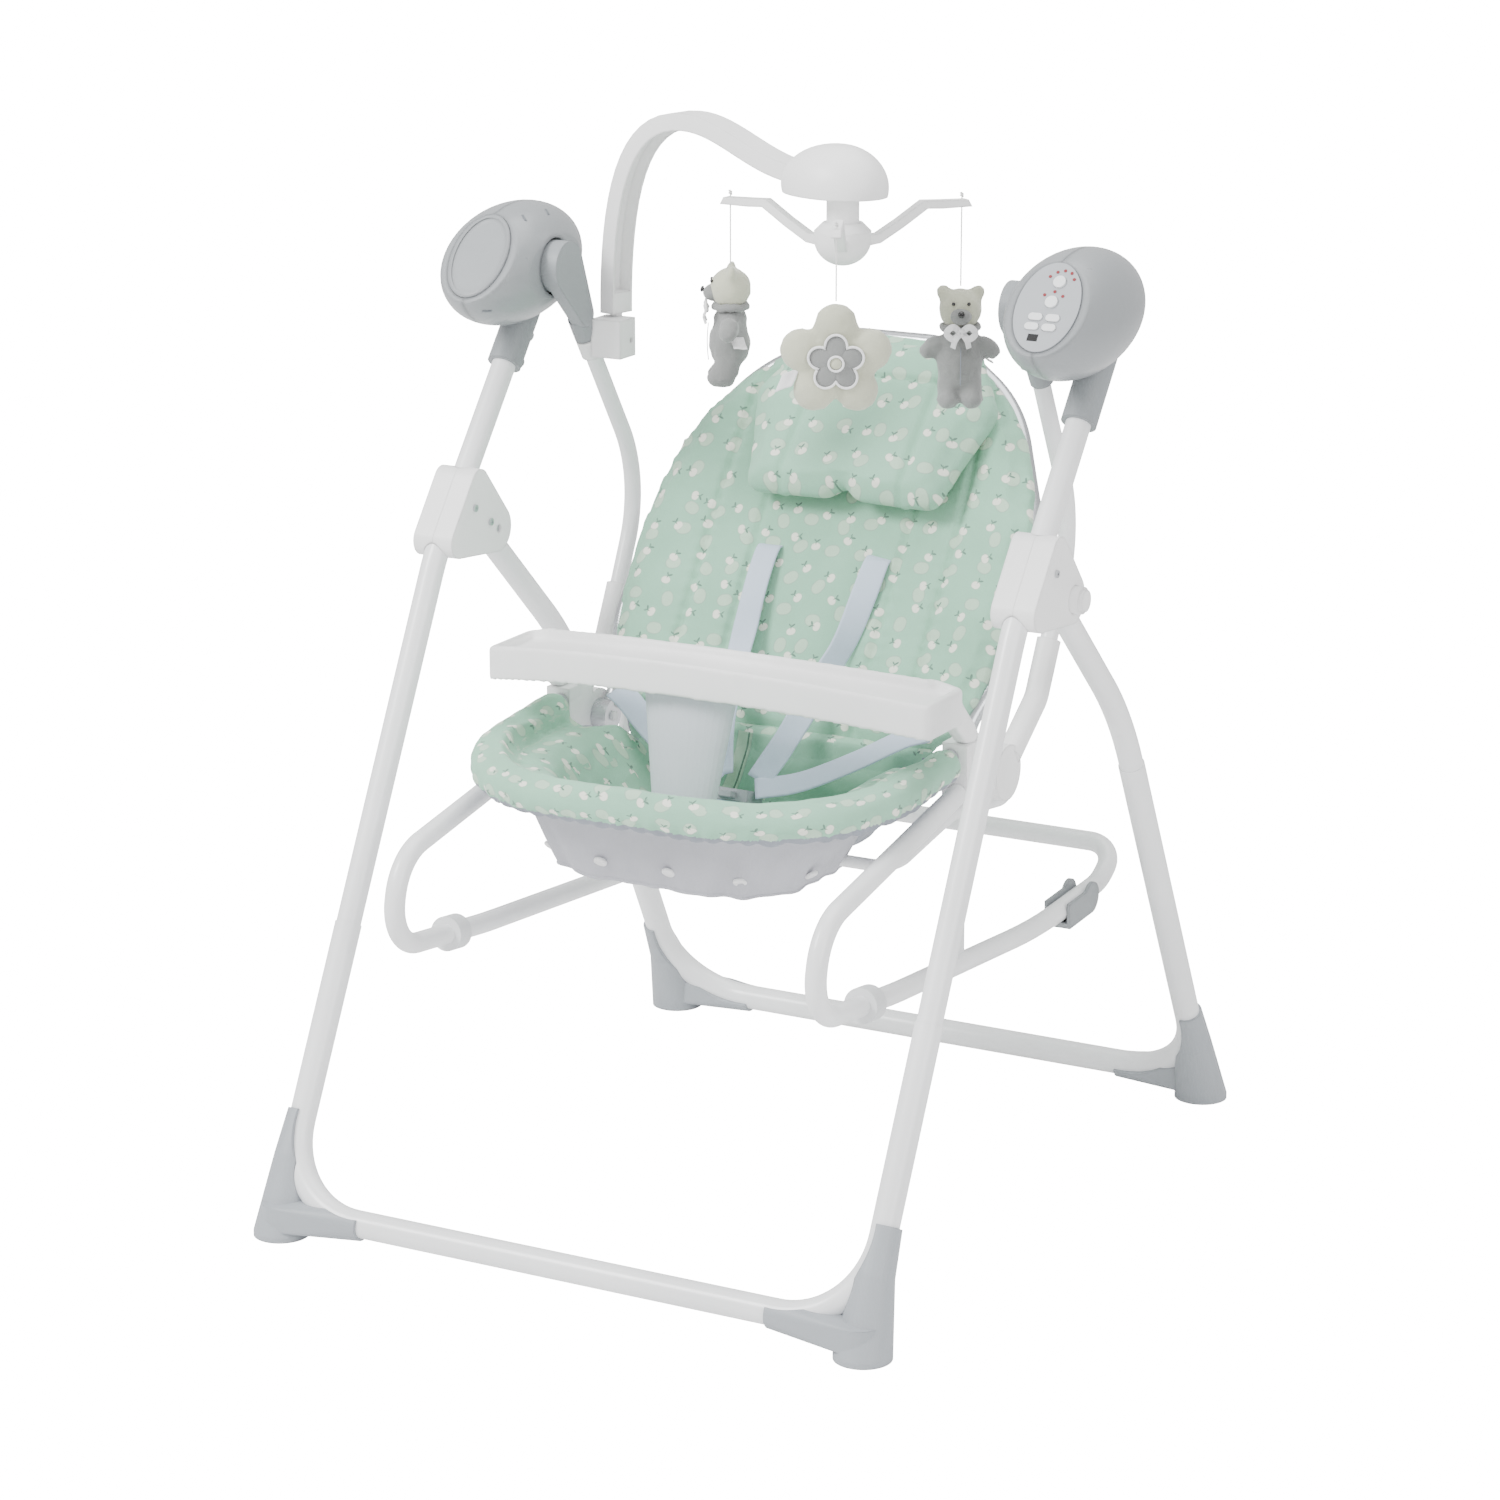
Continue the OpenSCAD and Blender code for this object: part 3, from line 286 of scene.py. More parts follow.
MATS = {
    "tube_white": hard("tube_white", "f2f3f4", 0.3, coat=0.3, grain=700, bump=0.05),
    "plastic_white": hard("plastic_white", "f3f3f3", 0.42, grain=1400, bump=0.05, edge=0.003),
    "plastic_cool": hard("plastic_cool", "c9ced6", 0.45, grain=1400, bump=0.05),
    "plastic_grey": hard("plastic_grey", "9ea3a8", 0.5, grain=1600, bump=0.1, edge=0.002),
    "plastic_dark": hard("plastic_dark", "8f9497", 0.5, grain=1600, bump=0.1, edge=0.002),
    "pod_grey": hard("pod_grey", "8f9396", 0.3, coat=0.25, grain=1600, bump=0.05, edge=0.007),
    "panel_grey": hard("panel_grey", "a6aaae", 0.35, grain=1600, bump=0.03),
    "key_white": hard("key_white", "e9ebec", 0.35, grain=1500, bump=0.02),
    "lamp_lens": hard("lamp_lens", "8a3236", 0.2, coat=0.6, bump=0.0),
    "ring_white": hard("ring_white", "e2e4e5", 0.6, grain=800, bump=0.12),
    "steel": hard("steel", "c6c9cc", 0.28, metal=1.0, grain=500, bump=0.05),
    "magnet_dark": hard("magnet_dark", "4b4f54", 0.5, metal=0.6),
    "copper_wire": hard("copper_wire", "b87840", 0.35, metal=1.0, grain=300, bump=0.4),
    "board_green": hard("board_green", "3f7a58", 0.4),
    "cell_wrap": hard("cell_wrap", "c9a24a", 0.3),
    "fabric_green": printed_cloth("fabric_green", "95c6ab"),
    "plush_grey": cloth("plush_grey", "868887", 2200, 0.5, 0.5, 0.1),
    "plush_cream": cloth("plush_cream", "c0c2ad", 2200, 0.4, 0.5, 0.08),
    "cord_white": cloth("cord_white", "eeeeec", 3000, 0.1, 0.3),
    "webbing": cloth("webbing", "c3d0e2", 2600, 0.1, 0.2),
    "skirt_grey": cloth("skirt_grey", "b6b7be", 1800, 0.4, 0.2),
    "lining_grey": cloth("lining_grey", "8b919b", 1500, 0.5, 0.2),
    "ribbon_white": cloth("ribbon_white", "f1f1f2", 2600, 0.2, 0.3),
    "thread_green": cloth("thread_green", "93bda6", 3000, 0.1, 0.2),
    "eye_black": hard("eye_black", "151517", 0.2, coat=0.5),
    # Dark grey for the strips on the left pod that paint the shade inside its vent slots
    "vent_shade_dark": hard("vent_shade_dark", "6e7378", 0.7, grain=900, bump=0.15),
}

for entry in frame["record"]["subparts"]:
    obj = bpy.data.objects[entry["node"]]
    slots = obj.material_slots
    if not len(slots):
        obj.data.materials.append(MATS[entry["material_slot"]])
    for s in slots:
        s.material = MATS[entry["material_slot"]]


# The readout's window, low on the panel, is black glass; the other lenses stay red
PANEL_MIDDLE = Vector((0, -0.0135, 0.8804))
PANEL_TILT = math.radians(51.7)
WINDOW_BELOW = -0.026
lenses = bpy.data.objects["panel_lights"]
lenses.data.materials.append(MATS["eye_black"])
up_panel = Vector((0, math.cos(PANEL_TILT), math.sin(PANEL_TILT)))
for p in lenses.data.polygons:
    if (lenses.matrix_world @ p.center - PANEL_MIDDLE).dot(up_panel) < WINDOW_BELOW:
        p.material_index = len(lenses.data.materials) - 1


# ---- mesh helpers ----
def add(name, verts, faces, mat, body):
    """A new smooth-shaded piece, riding on body."""
    me = bpy.data.meshes.new(name)
    me.from_pydata([tuple(v) for v in verts], [], faces)
    me.update()
    ob = bpy.data.objects.new(name, me)
    bpy.context.collection.objects.link(ob)
    me.materials.append(MATS[mat])
    for p in me.polygons:
        p.use_smooth = True
    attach(ob, body)
    return ob


def apply_all(ob):
    """Turns the object's modifiers into its mesh."""
    dg = bpy.context.evaluated_depsgraph_get()
    dg.update()
    me = bpy.data.meshes.new_from_object(ob.evaluated_get(dg))
    ob.modifiers.clear()
    ob.data = me
    for p in me.polygons:
        p.use_smooth = True


def normals(ob):
    """The vertex normals, read before any vertex moves."""
    return [v.normal.copy() for v in ob.data.vertices]


def subdivide(ob, levels=1):
    m = ob.modifiers.new("subdivision", "SUBSURF")
    m.levels = m.render_levels = levels
    apply_all(ob)


def remesh(ob, size):
    m = ob.modifiers.new("remesh", "REMESH")
    m.mode = "VOXEL"
    m.voxel_size = size
    apply_all(ob)


def inflate(ob, pressure=4.0, cap=0.008, frames=20, voxel=0.006):
    """Voxel remesh, then a short cloth simulation under pressure with the movement capped."""
    remesh(ob, voxel)
    start = [v.co.copy() for v in ob.data.vertices]
    m = ob.modifiers.new("cloth", "CLOTH")
    s = m.settings
    s.quality = 5
    s.mass = 0.3
    s.use_pressure = True
    s.uniform_pressure_force = pressure
    s.tension_stiffness = s.compression_stiffness = 15
    s.bending_stiffness = 0.5
    s.effector_weights.gravity = 0
    m.point_cache.frame_start, m.point_cache.frame_end = 1, frames
    for f in range(1, frames + 1):
        bpy.context.scene.frame_set(f)
    dg = bpy.context.evaluated_depsgraph_get()
    moved = [v.co.copy() for v in ob.evaluated_get(dg).data.vertices]
    ob.modifiers.clear()
    bpy.context.scene.frame_set(1)
    for v, a, b in zip(ob.data.vertices, start, moved):
        d = b - a
        if d.length > cap:
            d *= cap / d.length
        v.co = a + d
    ob.data.update()


def set_uv(ob, fn):
    """Writes the print's UV map, in metres, from each corner's place."""
    layer = ob.data.uv_layers.get("UVMap") or ob.data.uv_layers.new(name="UVMap")
    me = ob.data
    for poly in me.polygons:
        for li in poly.loop_indices:
            layer.data[li].uv = fn(me.vertices[me.loops[li].vertex_index].co, poly.normal)


def copy_node(node, name, mat, body):
    """A free copy of a CAD node's mesh."""
    src = bpy.data.objects[node]
    me = src.data.copy()
    ob = bpy.data.objects.new(name, me)
    ob.matrix_world = src.matrix_world.copy()
    bpy.context.collection.objects.link(ob)
    me.materials.clear()
    me.materials.append(MATS[mat])
    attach(ob, body)
    return ob


def resample(points, count):
    """Count points, evenly spaced along a polyline."""
    acc = [0.0]
    for a, b in zip(points, points[1:]):
        acc.append(acc[-1] + (b - a).length)
    out, j = [], 0
    for k in range(count):
        want = acc[-1] * k / (count - 1)
        while j < len(acc) - 2 and acc[j + 1] < want:
            j += 1
        span = acc[j + 1] - acc[j] or 1e-9
        out.append(points[j].lerp(points[j + 1], (want - acc[j]) / span))
    return out


def smooth_path(points, count):
    """Catmull-Rom curve through points, evenly spaced."""
    pts = [Vector(p) for p in points]
    ext = [pts[0] * 2 - pts[1]] + pts + [pts[-1] * 2 - pts[-2]]
    dense = []
    for i in range(1, len(ext) - 2):
        a, b, c, d = ext[i - 1:i + 3]
        for k in range(24):
            t = k / 24
            dense.append(0.5 * ((2 * b) + (c - a) * t + (2 * a - 5 * b + 4 * c - d) * t * t
                                + (3 * b - a - 3 * c + d) * t ** 3))
    dense.append(pts[-1])
    return resample(dense, count)


def strap(name, points, normals, width, thick, body, mat="webbing", count=40):
    """Flat webbing along points; normals turn it, one for each point."""
    path = smooth_path(points, count)
    nrm = smooth_path(normals, count)
    verts, faces = [], []
    for i, p in enumerate(path):
        t = (path[min(i + 1, count - 1)] - path[max(i - 1, 0)]).normalized()
        n = nrm[i] - t * nrm[i].dot(t)
        n.normalize()
        side = t.cross(n)
        for a, b in ((-0.5, -0.5), (-0.42, -0.62), (0, -0.5), (0.42, -0.62), (0.5, -0.5),
                     (0.5, 0.5), (0.42, 0.62), (0, 0.5), (-0.42, 0.62), (-0.5, 0.5)):
            verts.append(p + side * (a * width) + n * (b * thick))
    k = 10
    for i in range(count - 1):
        for j in range(k):
            faces.append((i * k + j, i * k + (j + 1) % k, (i + 1) * k + (j + 1) % k, (i + 1) * k + j))
    faces.append(tuple(range(k - 1, -1, -1)))
    faces.append(tuple(range((count - 1) * k, count * k)))
    return add(name, verts, faces, mat, body)


def tube(name, path, radius, mat, body, sides=10, closed=False):
    """Round bead along path; radius is a number or a function of the fraction along it."""
    n = len(path)
    verts, faces = [], []
    up = Vector((0.13, 0.21, 0.97))
    for i, p in enumerate(path):
        a = path[(i - 1) % n] if closed or i else path[0]
        b = path[(i + 1) % n] if closed or i < n - 1 else path[-1]
        t = (b - a).normalized()
        x = t.cross(up)
        if x.length < 0.05:
            x = t.cross(Vector((1, 0, 0)))
        x.normalize()
        y = t.cross(x)
        r = radius(i / (n - 1)) if callable(radius) else radius
        for k in range(sides):
            q = 2 * math.pi * k / sides
            verts.append(p + x * (r * math.cos(q)) + y * (r * math.sin(q)))
    last = n if closed else n - 1
    for i in range(last):
        for k in range(sides):
            a, b = i * sides, ((i + 1) % n) * sides
            faces.append((a + k, b + k, b + (k + 1) % sides, a + (k + 1) % sides))
    if not closed:
        faces.append(tuple(range(sides)))
        faces.append(tuple(range((n - 1) * sides, n * sides))[::-1])
    return add(name, verts, faces, mat, body)


# ---- cords: the toys' strings, from the arm tips down to the toys ----
for toy, top in TOY_TOPS.items():
    x, y = toy_xy(toy)
    high = TIP_Z + 0.004
    route = [Vector((x, y, high - (high - top) * k / 20)) for k in range(21)]
    line = tube(toy + "_cord", route, 0.0007, "cord_white", "toy_" + toy, sides=8)
    strand = []
    for k in range(161):
        q = k * 0.55
        z = high - 0.001 - (high - 0.002 - top) * k / 160
        strand.append(Vector((x + 0.0006 * math.cos(q), y + 0.0006 * math.sin(q), z)))
    twist = tube(toy + "_cord_twist", strand, 0.00028, "cord_white", "toy_" + toy, sides=6)
    knot = tube(toy + "_knot", [Vector((x + 0.0012 * math.cos(q * 0.9), y + 0.0012 * math.sin(q * 0.9),
                                        TIP_Z + 0.0036 + 0.0003 * q)) for q in range(14)],
                0.0009, "cord_white", "toy_" + toy, sides=8)
    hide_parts(toy + "_string")


# ---- backrest ----
# Half width of the backrest at lengths along it, in millimetres, and its cover's two ends
BACK_W = [(22, 196), (60, 214), (120, 224), (180, 226), (240, 221), (290, 209), (335, 189),
          (372, 163), (402, 131), (426, 94), (442, 54), (452, 14)]
BACK_LOW, BACK_TOP = -0.006, 0.443


def back_width(s):
    """Half width of the backrest, in metres, at length s along it."""
    s *= 1000
    if s <= BACK_W[0][0]:
        return BACK_W[0][1] / 1000
    for (a, wa), (b, wb) in zip(BACK_W, BACK_W[1:]):
        if s <= b:
            return (wa + (wb - wa) * (s - a) / (b - a)) / 1000
    return BACK_W[-1][1] / 1000


def on_back(p):
    """x, s and t of a world point: the reverse of back()."""
    d = Vector(p) - HUB
    return (p[0], d.y * math.sin(RECLINE) + d.z * math.cos(RECLINE),
            -d.y * math.cos(RECLINE) + d.z * math.sin(RECLINE))


def backrest():
    """The backrest's padded cover, with two sewn channels on each side."""
    rows, cols, inset, half = 44, 40, 0.007, 0.0085
    verts, faces = [], []
    for side in (1, -1):
        for i in range(rows + 1):
            s = BACK_LOW + (BACK_TOP - BACK_LOW) * i / rows
            w = max(back_width(s) - inset, 0.004)
            w = min(w, 0.168 + 0.9 * s)
            for j in range(cols + 1):
                u = -1 + 2 * j / cols
                lip = 0.013 * max(0, abs(u) - 0.45) ** 1.3 * min(1, (0.45 - s) / 0.12) * 2
                verts.append(back(u * w, s, side * half + lip))
    n = (rows + 1) * (cols + 1)
    for i in range(rows):
        for j in range(cols):
            a = i * (cols + 1) + j
            faces.append((a, a + 1, a + cols + 2, a + cols + 1))
            faces.append((n + a, n + a + cols + 1, n + a + cols + 2, n + a + 1))
    for i in range(rows):
        for j in (0, cols):
            a, b = i * (cols + 1) + j, (i + 1) * (cols + 1) + j
            faces.append((a, b, n + b, n + a) if j else (b, a, n + a, n + b))
    for j in range(cols):
        a, b = j, rows * (cols + 1) + j
        faces.append((a + 1, a, n + a, n + a + 1))
        faces.append((b, b + 1, n + b + 1, n + b))
    ob = add("backrest_cover", verts, faces, "fabric_green", "backrest")
    inflate(ob, 4.0, 0.008)
    subdivide(ob)
    for v in ob.data.vertices:
        x, s, t = on_back(v.co)
        ax = abs(x)
        if t > 0.002:
            outer_seam = 0.132 - 0.05 * max(0, s - 0.25)
            for seam, deep in ((0.080, 0.0042), (outer_seam, 0.0048)):
                t -= deep * math.exp(-((ax - seam) / 0.0035) ** 2)
                t += 0.0016 * math.exp(-((ax - seam) / 0.016) ** 2)
                pucker = 0.0007 * math.sin(s * 420 + 3 * noise.noise((x * 20, s * 20, 0)))
                t += pucker * math.exp(-((ax - seam) / 0.010) ** 2)
            t += 0.0022 * noise.noise((x * 16, s * 9, 1.7))
            t += 0.0012 * noise.noise((x * 40, s * 24, 5.1))
        v.co = back(x, s, t)
    ob.data.update()
    set_uv(ob, lambda co, nrm: on_back(co)[:2])
    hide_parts("backrest_pad")


backrest()


PILLOW_X, PILLOW_S, PILLOW_SHRINK = 0.014, 0.33, 0.985
PILLOW_SEAM, PILLOW_CROSS = 0.066, 0.372


def pillow():
    """The head pillow, with two sewn channels, a cross seam and a notch in its lower edge."""
    ob = copy_node("head_pillow", "head_pillow_cover", "fabric_green", "backrest")
    remesh(ob, 0.006)
    for v in ob.data.vertices:
        x, s, t = on_back(v.co)
        v.co = back(PILLOW_X + (x - PILLOW_X) * PILLOW_SHRINK, PILLOW_S + (s - PILLOW_S) * PILLOW_SHRINK, t)
    inflate(ob, 3.0, 0.005)
    subdivide(ob)
    for v in ob.data.vertices:
        x, s, t = on_back(v.co)
        x -= PILLOW_X
        front = min(1, max(0, (t - 0.022) / 0.012))
        t -= front * 0.0045 * math.exp(-((abs(x) - PILLOW_SEAM) / 0.0035) ** 2)
        if abs(x) < 0.075:
            t -= front * 0.004 * math.exp(-((s - PILLOW_CROSS) / 0.003) ** 2)
        s += math.exp(-(x / 0.012) ** 2) * max(0, 0.262 - s) * 0.5
        t += front * 0.0018 * noise.noise((x * 22, s * 15, 9.3))
        v.co = back(x + PILLOW_X, s, t)
    ob.data.update()
    set_uv(ob, lambda co, nrm: (on_back(co)[0] + 0.5, on_back(co)[1] + 0.013))
    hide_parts("head_pillow")


pillow()


# ---- seat ----
RIM_X, RIM_FRONT, RIM_BACK, RIM_Z0, RIM_Z1, CORNER = 0.212, -0.258, -0.02, 0.4505, 0.429, 0.140
ROLL = 0.03


def rim_z(y):
    """Height of the rim, which falls towards the front."""
    return RIM_Z1 + (RIM_Z0 - RIM_Z1) * (y - RIM_FRONT) / (0.006 - RIM_FRONT)


def round_front(w, y0, r, y1, z, steps):
    """Line from the left back corner round the front, with corners of radius r, to the right one."""
    pts = [Vector((-w, y1, z))]
    for side, start in ((-1, math.pi), (1, -math.pi / 2)):
        for k in range(steps + 1):
            a = start + math.pi / 2 * k / steps
            pts.append(Vector((side * (w - r) + r * math.cos(a), y0 + r + r * math.sin(a), z)))
    pts.append(Vector((w, y1, z)))
    return pts


def rim_line(count):
    """Centre line of the rim roll, from the left end round the front to the right end."""
    line = resample(round_front(RIM_X, RIM_FRONT, CORNER, RIM_BACK, 0, 24), count)
    for p in line:
        p.z = rim_z(p.y)
    return line


RIM = rim_line(400)
RIM_STEP = (RIM[1] - RIM[0]).length


def near_rim(p):
    """Length along the rim, distance from its centre line, and the way round it, of a point."""
    best, bi = 9, 0
    for i in range(0, 400, 8):
        d = (p - RIM[i]).length_squared
        if d < best:
            best, bi = d, i
    for i in range(max(0, bi - 8), min(400, bi + 9)):
        d = (p - RIM[i]).length_squared
        if d < best:
            best, bi = d, i
    a, b = RIM[max(0, bi - 1)], RIM[min(399, bi + 1)]
    t = (b - a).normalized()
    out = Vector((t.y, -t.x, 0)).normalized()
    d = p - RIM[bi]
    return bi * RIM_STEP, d.length, d.dot(out), d.z


PANEL_LIFT = 0.014


def seat():
    """The seat's padded cover: roll, tub and the panel that closes it behind."""
    ob = copy_node("seat_pad", "seat_cover", "fabric_green", "seat")
    ob.data.materials.append(MATS["lining_grey"])
    remesh(ob, 0.006)
    for v, nrm in zip(ob.data.vertices, normals(ob)):
        v.co = v.co - nrm * 0.002
    inflate(ob, 3.0, 0.004)
    subdivide(ob)
    for v, nrm in zip(ob.data.vertices, normals(ob)):
        u, dist, out, up = near_rim(v.co)
        soft = 0.0016 * noise.noise(v.co * 22) + 0.0009 * noise.noise(v.co * 60)
        if dist < ROLL:
            gather = 0.0011 * math.sin(u * 330 + 4 * noise.noise(v.co * 14))
            soft += gather * min(1, max(0, -up / 0.012))
        elif v.co.z < 0.44:
            for seam in (0.21, 0.80):
                soft -= 0.003 * math.exp(-((u - seam * 0.9) / 0.004) ** 2)
        v.co += nrm * soft
        if v.co.y > 0.018 and abs(v.co.x) < 0.17:
            v.co.z += PANEL_LIFT * min(1, max(0, (v.co.z - 0.405) / 0.02))
    me = ob.data
    me.update()
    for poly in me.polygons:
        c = poly.center
        u, dist, out, up = near_rim(c)
        under = dist < 0.026 and up < -0.012 and out > -0.012
        outside = dist >= 0.026 and c.z < 0.43 and (poly.normal.z < -0.5 or poly.normal.dot(
            Vector((c.x, c.y + 0.08, 0))) > 0)
        poly.material_index = 1 if (outside or under) else 0

    def uv(co, nrm):
        u, dist, out, up = near_rim(co)
        if dist < ROLL:
            return u, 0.02 * math.atan2(up, out) + 0.3
        if nrm.z > 0.6:
            return co.x + 0.7, co.y
        return u, 0.3 + 0.02 * math.pi + dist
    set_uv(ob, uv)
    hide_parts("seat_pad")


seat()


def tray():
    """The tray with its moulded edges rounded over."""
    ob = copy_node("tray", "tray_shell", "plastic_white", "tray")
    remesh(ob, 0.0018)
    m = ob.modifiers.new("round_edges", "SMOOTH")
    m.factor, m.iterations = 0.5, 14
    apply_all(ob)
    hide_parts("tray")


tray()


TUB_BACK = 0.02


def tub_point(f, g, out=0.004):
    """A point on the tub's outside: f from left to right round the front, g from rim to floor."""
    def ring(w, y0, r, z):
        pts = round_front(w, y0, r, TUB_BACK, z, 12)
        acc = [0.0]
        for a, b in zip(pts, pts[1:]):
            acc.append(acc[-1] + (b - a).length)
        want = acc[-1] * f
        for j in range(len(pts) - 1):
            if acc[j + 1] >= want - 1e-9:
                return pts[j].lerp(pts[j + 1], (want - acc[j]) / ((acc[j + 1] - acc[j]) or 1e-9))
        return pts[-1]
    top = ring(0.206 + out, -0.254 - out, 0.140, 0.430)
    mid = ring(0.160 + out, -0.222 - out, 0.095, 0.404)
    low = ring(0.116 + out, -0.198 - out, 0.064, 0.334)
    if g < 0.3:
        return top.lerp(mid, g / 0.3)
    return mid.lerp(low, (g - 0.3) / 0.7)


SKIRT_TOP, SKIRT_HEM, SKIRT_END = 0.02, 0.86, 0.16
SNAPS, SNAP_FIRST, SNAP_STEP, SNAP_ROW = 5, 0.32, 0.105, 0.72


def skirt():
    """The cloth skirt hung round the tub, with its hem and a row of snaps."""
    cols, rows = 150, 16
    verts, faces = [], []
    for i in range(rows + 1):
        g = SKIRT_TOP + (SKIRT_HEM - SKIRT_TOP) * i / rows
        for j in range(cols + 1):
            f = SKIRT_END + (1 - 2 * SKIRT_END) * j / cols
            wave = 0.0026 * g * math.sin(f * 62 + 2.2 * math.sin(f * 19)) + 0.0016 * g * math.sin(f * 141)
            p = tub_point(f, g, 0.0055 + wave + 0.002 * math.sin(g * 3.1))
            sag = 0.006 * g * math.cos((f - 0.5) * 5.2)
            verts.append(p + Vector((0, 0, -sag + 0.0008 * noise.noise((f * 40, g * 9, 3)))))
    for i in range(rows):
        for j in range(cols):
            a = i * (cols + 1) + j
            faces.append((a, a + cols + 1, a + cols + 2, a + 1))
    ob = add("seat_skirt", verts, faces, "skirt_grey", "seat")
    m = ob.modifiers.new("thick", "SOLIDIFY")
    m.thickness = 0.0014
    m.offset = 0
    subdivide(ob)
    hem = [verts[rows * (cols + 1) + j] + Vector((0, 0, 0.0005)) for j in range(cols + 1)]
    tube("skirt_hem", hem, 0.0021, "skirt_grey", "seat", 8)
    for i in range(rows):
        for j in range(cols):
            a = i * (cols + 1) + j
    for k in range(SNAPS):
        f = SNAP_FIRST + SNAP_STEP * k
        p = tub_point(f, SNAP_ROW, 0.0095)
        a, b = tub_point(f - 0.01, SNAP_ROW), tub_point(f + 0.01, SNAP_ROW)
        low = tub_point(f, SNAP_ROW + 0.08)
        n = (b - a).cross(p - low)
        n = (n if n.y < 0 else -n).normalized()
        snap(p, n, "skirt_snap_%d" % k)


def lathe(name, profile, at, axis, mat, body, sides=32):
    """Turned piece: profile of (radius, height) along axis from at."""
    axis = Vector(axis).normalized()
    x = axis.orthogonal().normalized()
    y = axis.cross(x)
    at = Vector(at)
    verts, faces = [], []
    for r, h in profile:
        for k in range(sides):
            q = 2 * math.pi * k / sides
            verts.append(at + axis * h + x * (r * math.cos(q)) + y * (r * math.sin(q)))
    for i in range(len(profile) - 1):
        for k in range(sides):
            a, b = i * sides, (i + 1) * sides
            faces.append((a + k, a + (k + 1) % sides, b + (k + 1) % sides, b + k))
    faces.append(tuple(range(sides))[::-1])
    faces.append(tuple(range((len(profile) - 1) * sides, len(profile) * sides)))
    return add(name, verts, faces, mat, body)


def snap(p, n, name):
    """A round press snap at p, facing along n."""
    lathe(name, [(0.0064, -0.001), (0.0066, 0.001), (0.006, 0.0022), (0.0044, 0.0028), (0.0034, 0.002),
                 (0.0012, 0.0018)], p, n, "plastic_white", "seat", 28)


skirt()

# Small vent slots in the left pod, drawn as dark grey strips laid on its shell that paint the shade inside
# the slots: a place on its shell and the way out of it there
for k, (at, out) in enumerate((((-0.2750, 0.0272, 0.9138), (0.446, -0.245, 0.861)),
                               ((-0.2705, 0.0630, 0.9151), (0.555, 0.013, 0.832)),
                               ((-0.2819, -0.0321, 0.8315), (0.470, -0.593, -0.654)))):
    out = Vector(out)
    run = Vector((0.75, -0.5, -0.2)) if k < 2 else Vector((0.6, 0.6, 0.1))
    run = (run - out * run.dot(out)).normalized()
    strap("vent_slot_%d" % k, [Vector(at) + run * d for d in (-0.0045, 0.0, 0.0045)], [out] * 3,
          0.0022, 0.0011, "stand", "vent_shade_dark", 12)


# ---- harness ----
BUCKLE = Vector((0, -0.052, 0.392))


STRAP_W, STRAP_T = 0.025, 0.0016


def harness():
    """Shoulder, waist and crotch straps to the buckle, and the slots they come out of."""
    for side in (-1, 1):
        name = "left" if side < 0 else "right"
        pts = [back(side * 0.060, 0.193, 0.008), back(side * 0.060, 0.188, 0.022),
               back(side * 0.059, 0.150, 0.027), back(side * 0.055, 0.100, 0.030),
               back(side * 0.047, 0.050, 0.040), Vector((side * 0.034, -0.012, 0.440)),
               BUCKLE + Vector((side * 0.020, 0.010, 0.014))]
        face = [Vector((0, -0.6, 0.8)), Vector((0, -0.8, 0.6)), Vector((0, -0.8, 0.6)),
                Vector((side * -0.1, -0.8, 0.6)), Vector((side * 0.2, -0.75, 0.6)),
                Vector((side * 0.3, -0.7, 0.6)), Vector((side * 0.2, -0.5, 0.8))]
        if side > 0:
            face[1] = Vector((0.85, -0.45, 0.3))
            face[2] = Vector((0.8, -0.5, 0.3))
            face[3] = Vector((0.55, -0.7, 0.45))
        strap("shoulder_strap_" + name, pts, face, STRAP_W, STRAP_T, "seat", count=60)
        pts = [Vector((side * 0.170, 0.018, 0.458)), Vector((side * 0.150, 0.006, 0.452)),
               Vector((side * 0.110, -0.014, 0.430)), Vector((side * 0.062, -0.034, 0.408)),
               BUCKLE + Vector((side * 0.022, 0.0, 0.008))]
        face = [Vector((side * -0.3, -0.7, 0.7))] * 5
        strap("waist_strap_" + name, pts, face, STRAP_W, STRAP_T, "seat", count=40)
        slit = [back(side * 0.060 + 0.017 * math.cos(k * math.tau / 36),
                     0.195 + 0.0035 * math.sin(k * math.tau / 36), 0.0105) for k in range(36)]
        tube("strap_slot_" + name, slit, 0.0013, "thread_green", "backrest", 8, closed=True)
    strap("crotch_strap", [Vector((0, -0.085, 0.358)), Vector((0, -0.078, 0.372)),
                           BUCKLE + Vector((0, -0.012, 0.002))],
          [Vector((0, -0.8, 0.5))] * 3, STRAP_W, STRAP_T, "seat", count=20)


harness()


# ---- toys ----
def soft_parts(name, parts, mat, body, voxel=0.0032, smooth=6, wrinkle=0.0008):
    """One stuffed form from ellipsoids: parts of (centre, radii, turn about X)."""
    bm = bmesh.new()
    for c, r, turn in parts:
        m = Matrix.Translation(Vector(c)) @ Matrix.Rotation(turn, 4, "X") @ Matrix.Diagonal((*r, 1))
        bmesh.ops.create_icosphere(bm, subdivisions=3, radius=1, matrix=m)
    me = bpy.data.meshes.new(name)
    bm.to_mesh(me)
    bm.free()
    ob = bpy.data.objects.new(name, me)
    bpy.context.collection.objects.link(ob)
    me.materials.append(MATS[mat])
    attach(ob, body)
    remesh(ob, voxel)
    m = ob.modifiers.new("smooth", "SMOOTH")
    m.factor, m.iterations = 0.5, smooth
    apply_all(ob)
    for v, nrm in zip(ob.data.vertices, normals(ob)):
        v.co += nrm * (wrinkle * noise.noise(v.co * 160) + 0.5 * wrinkle * noise.noise(v.co * 420))
    subdivide(ob)
    return ob


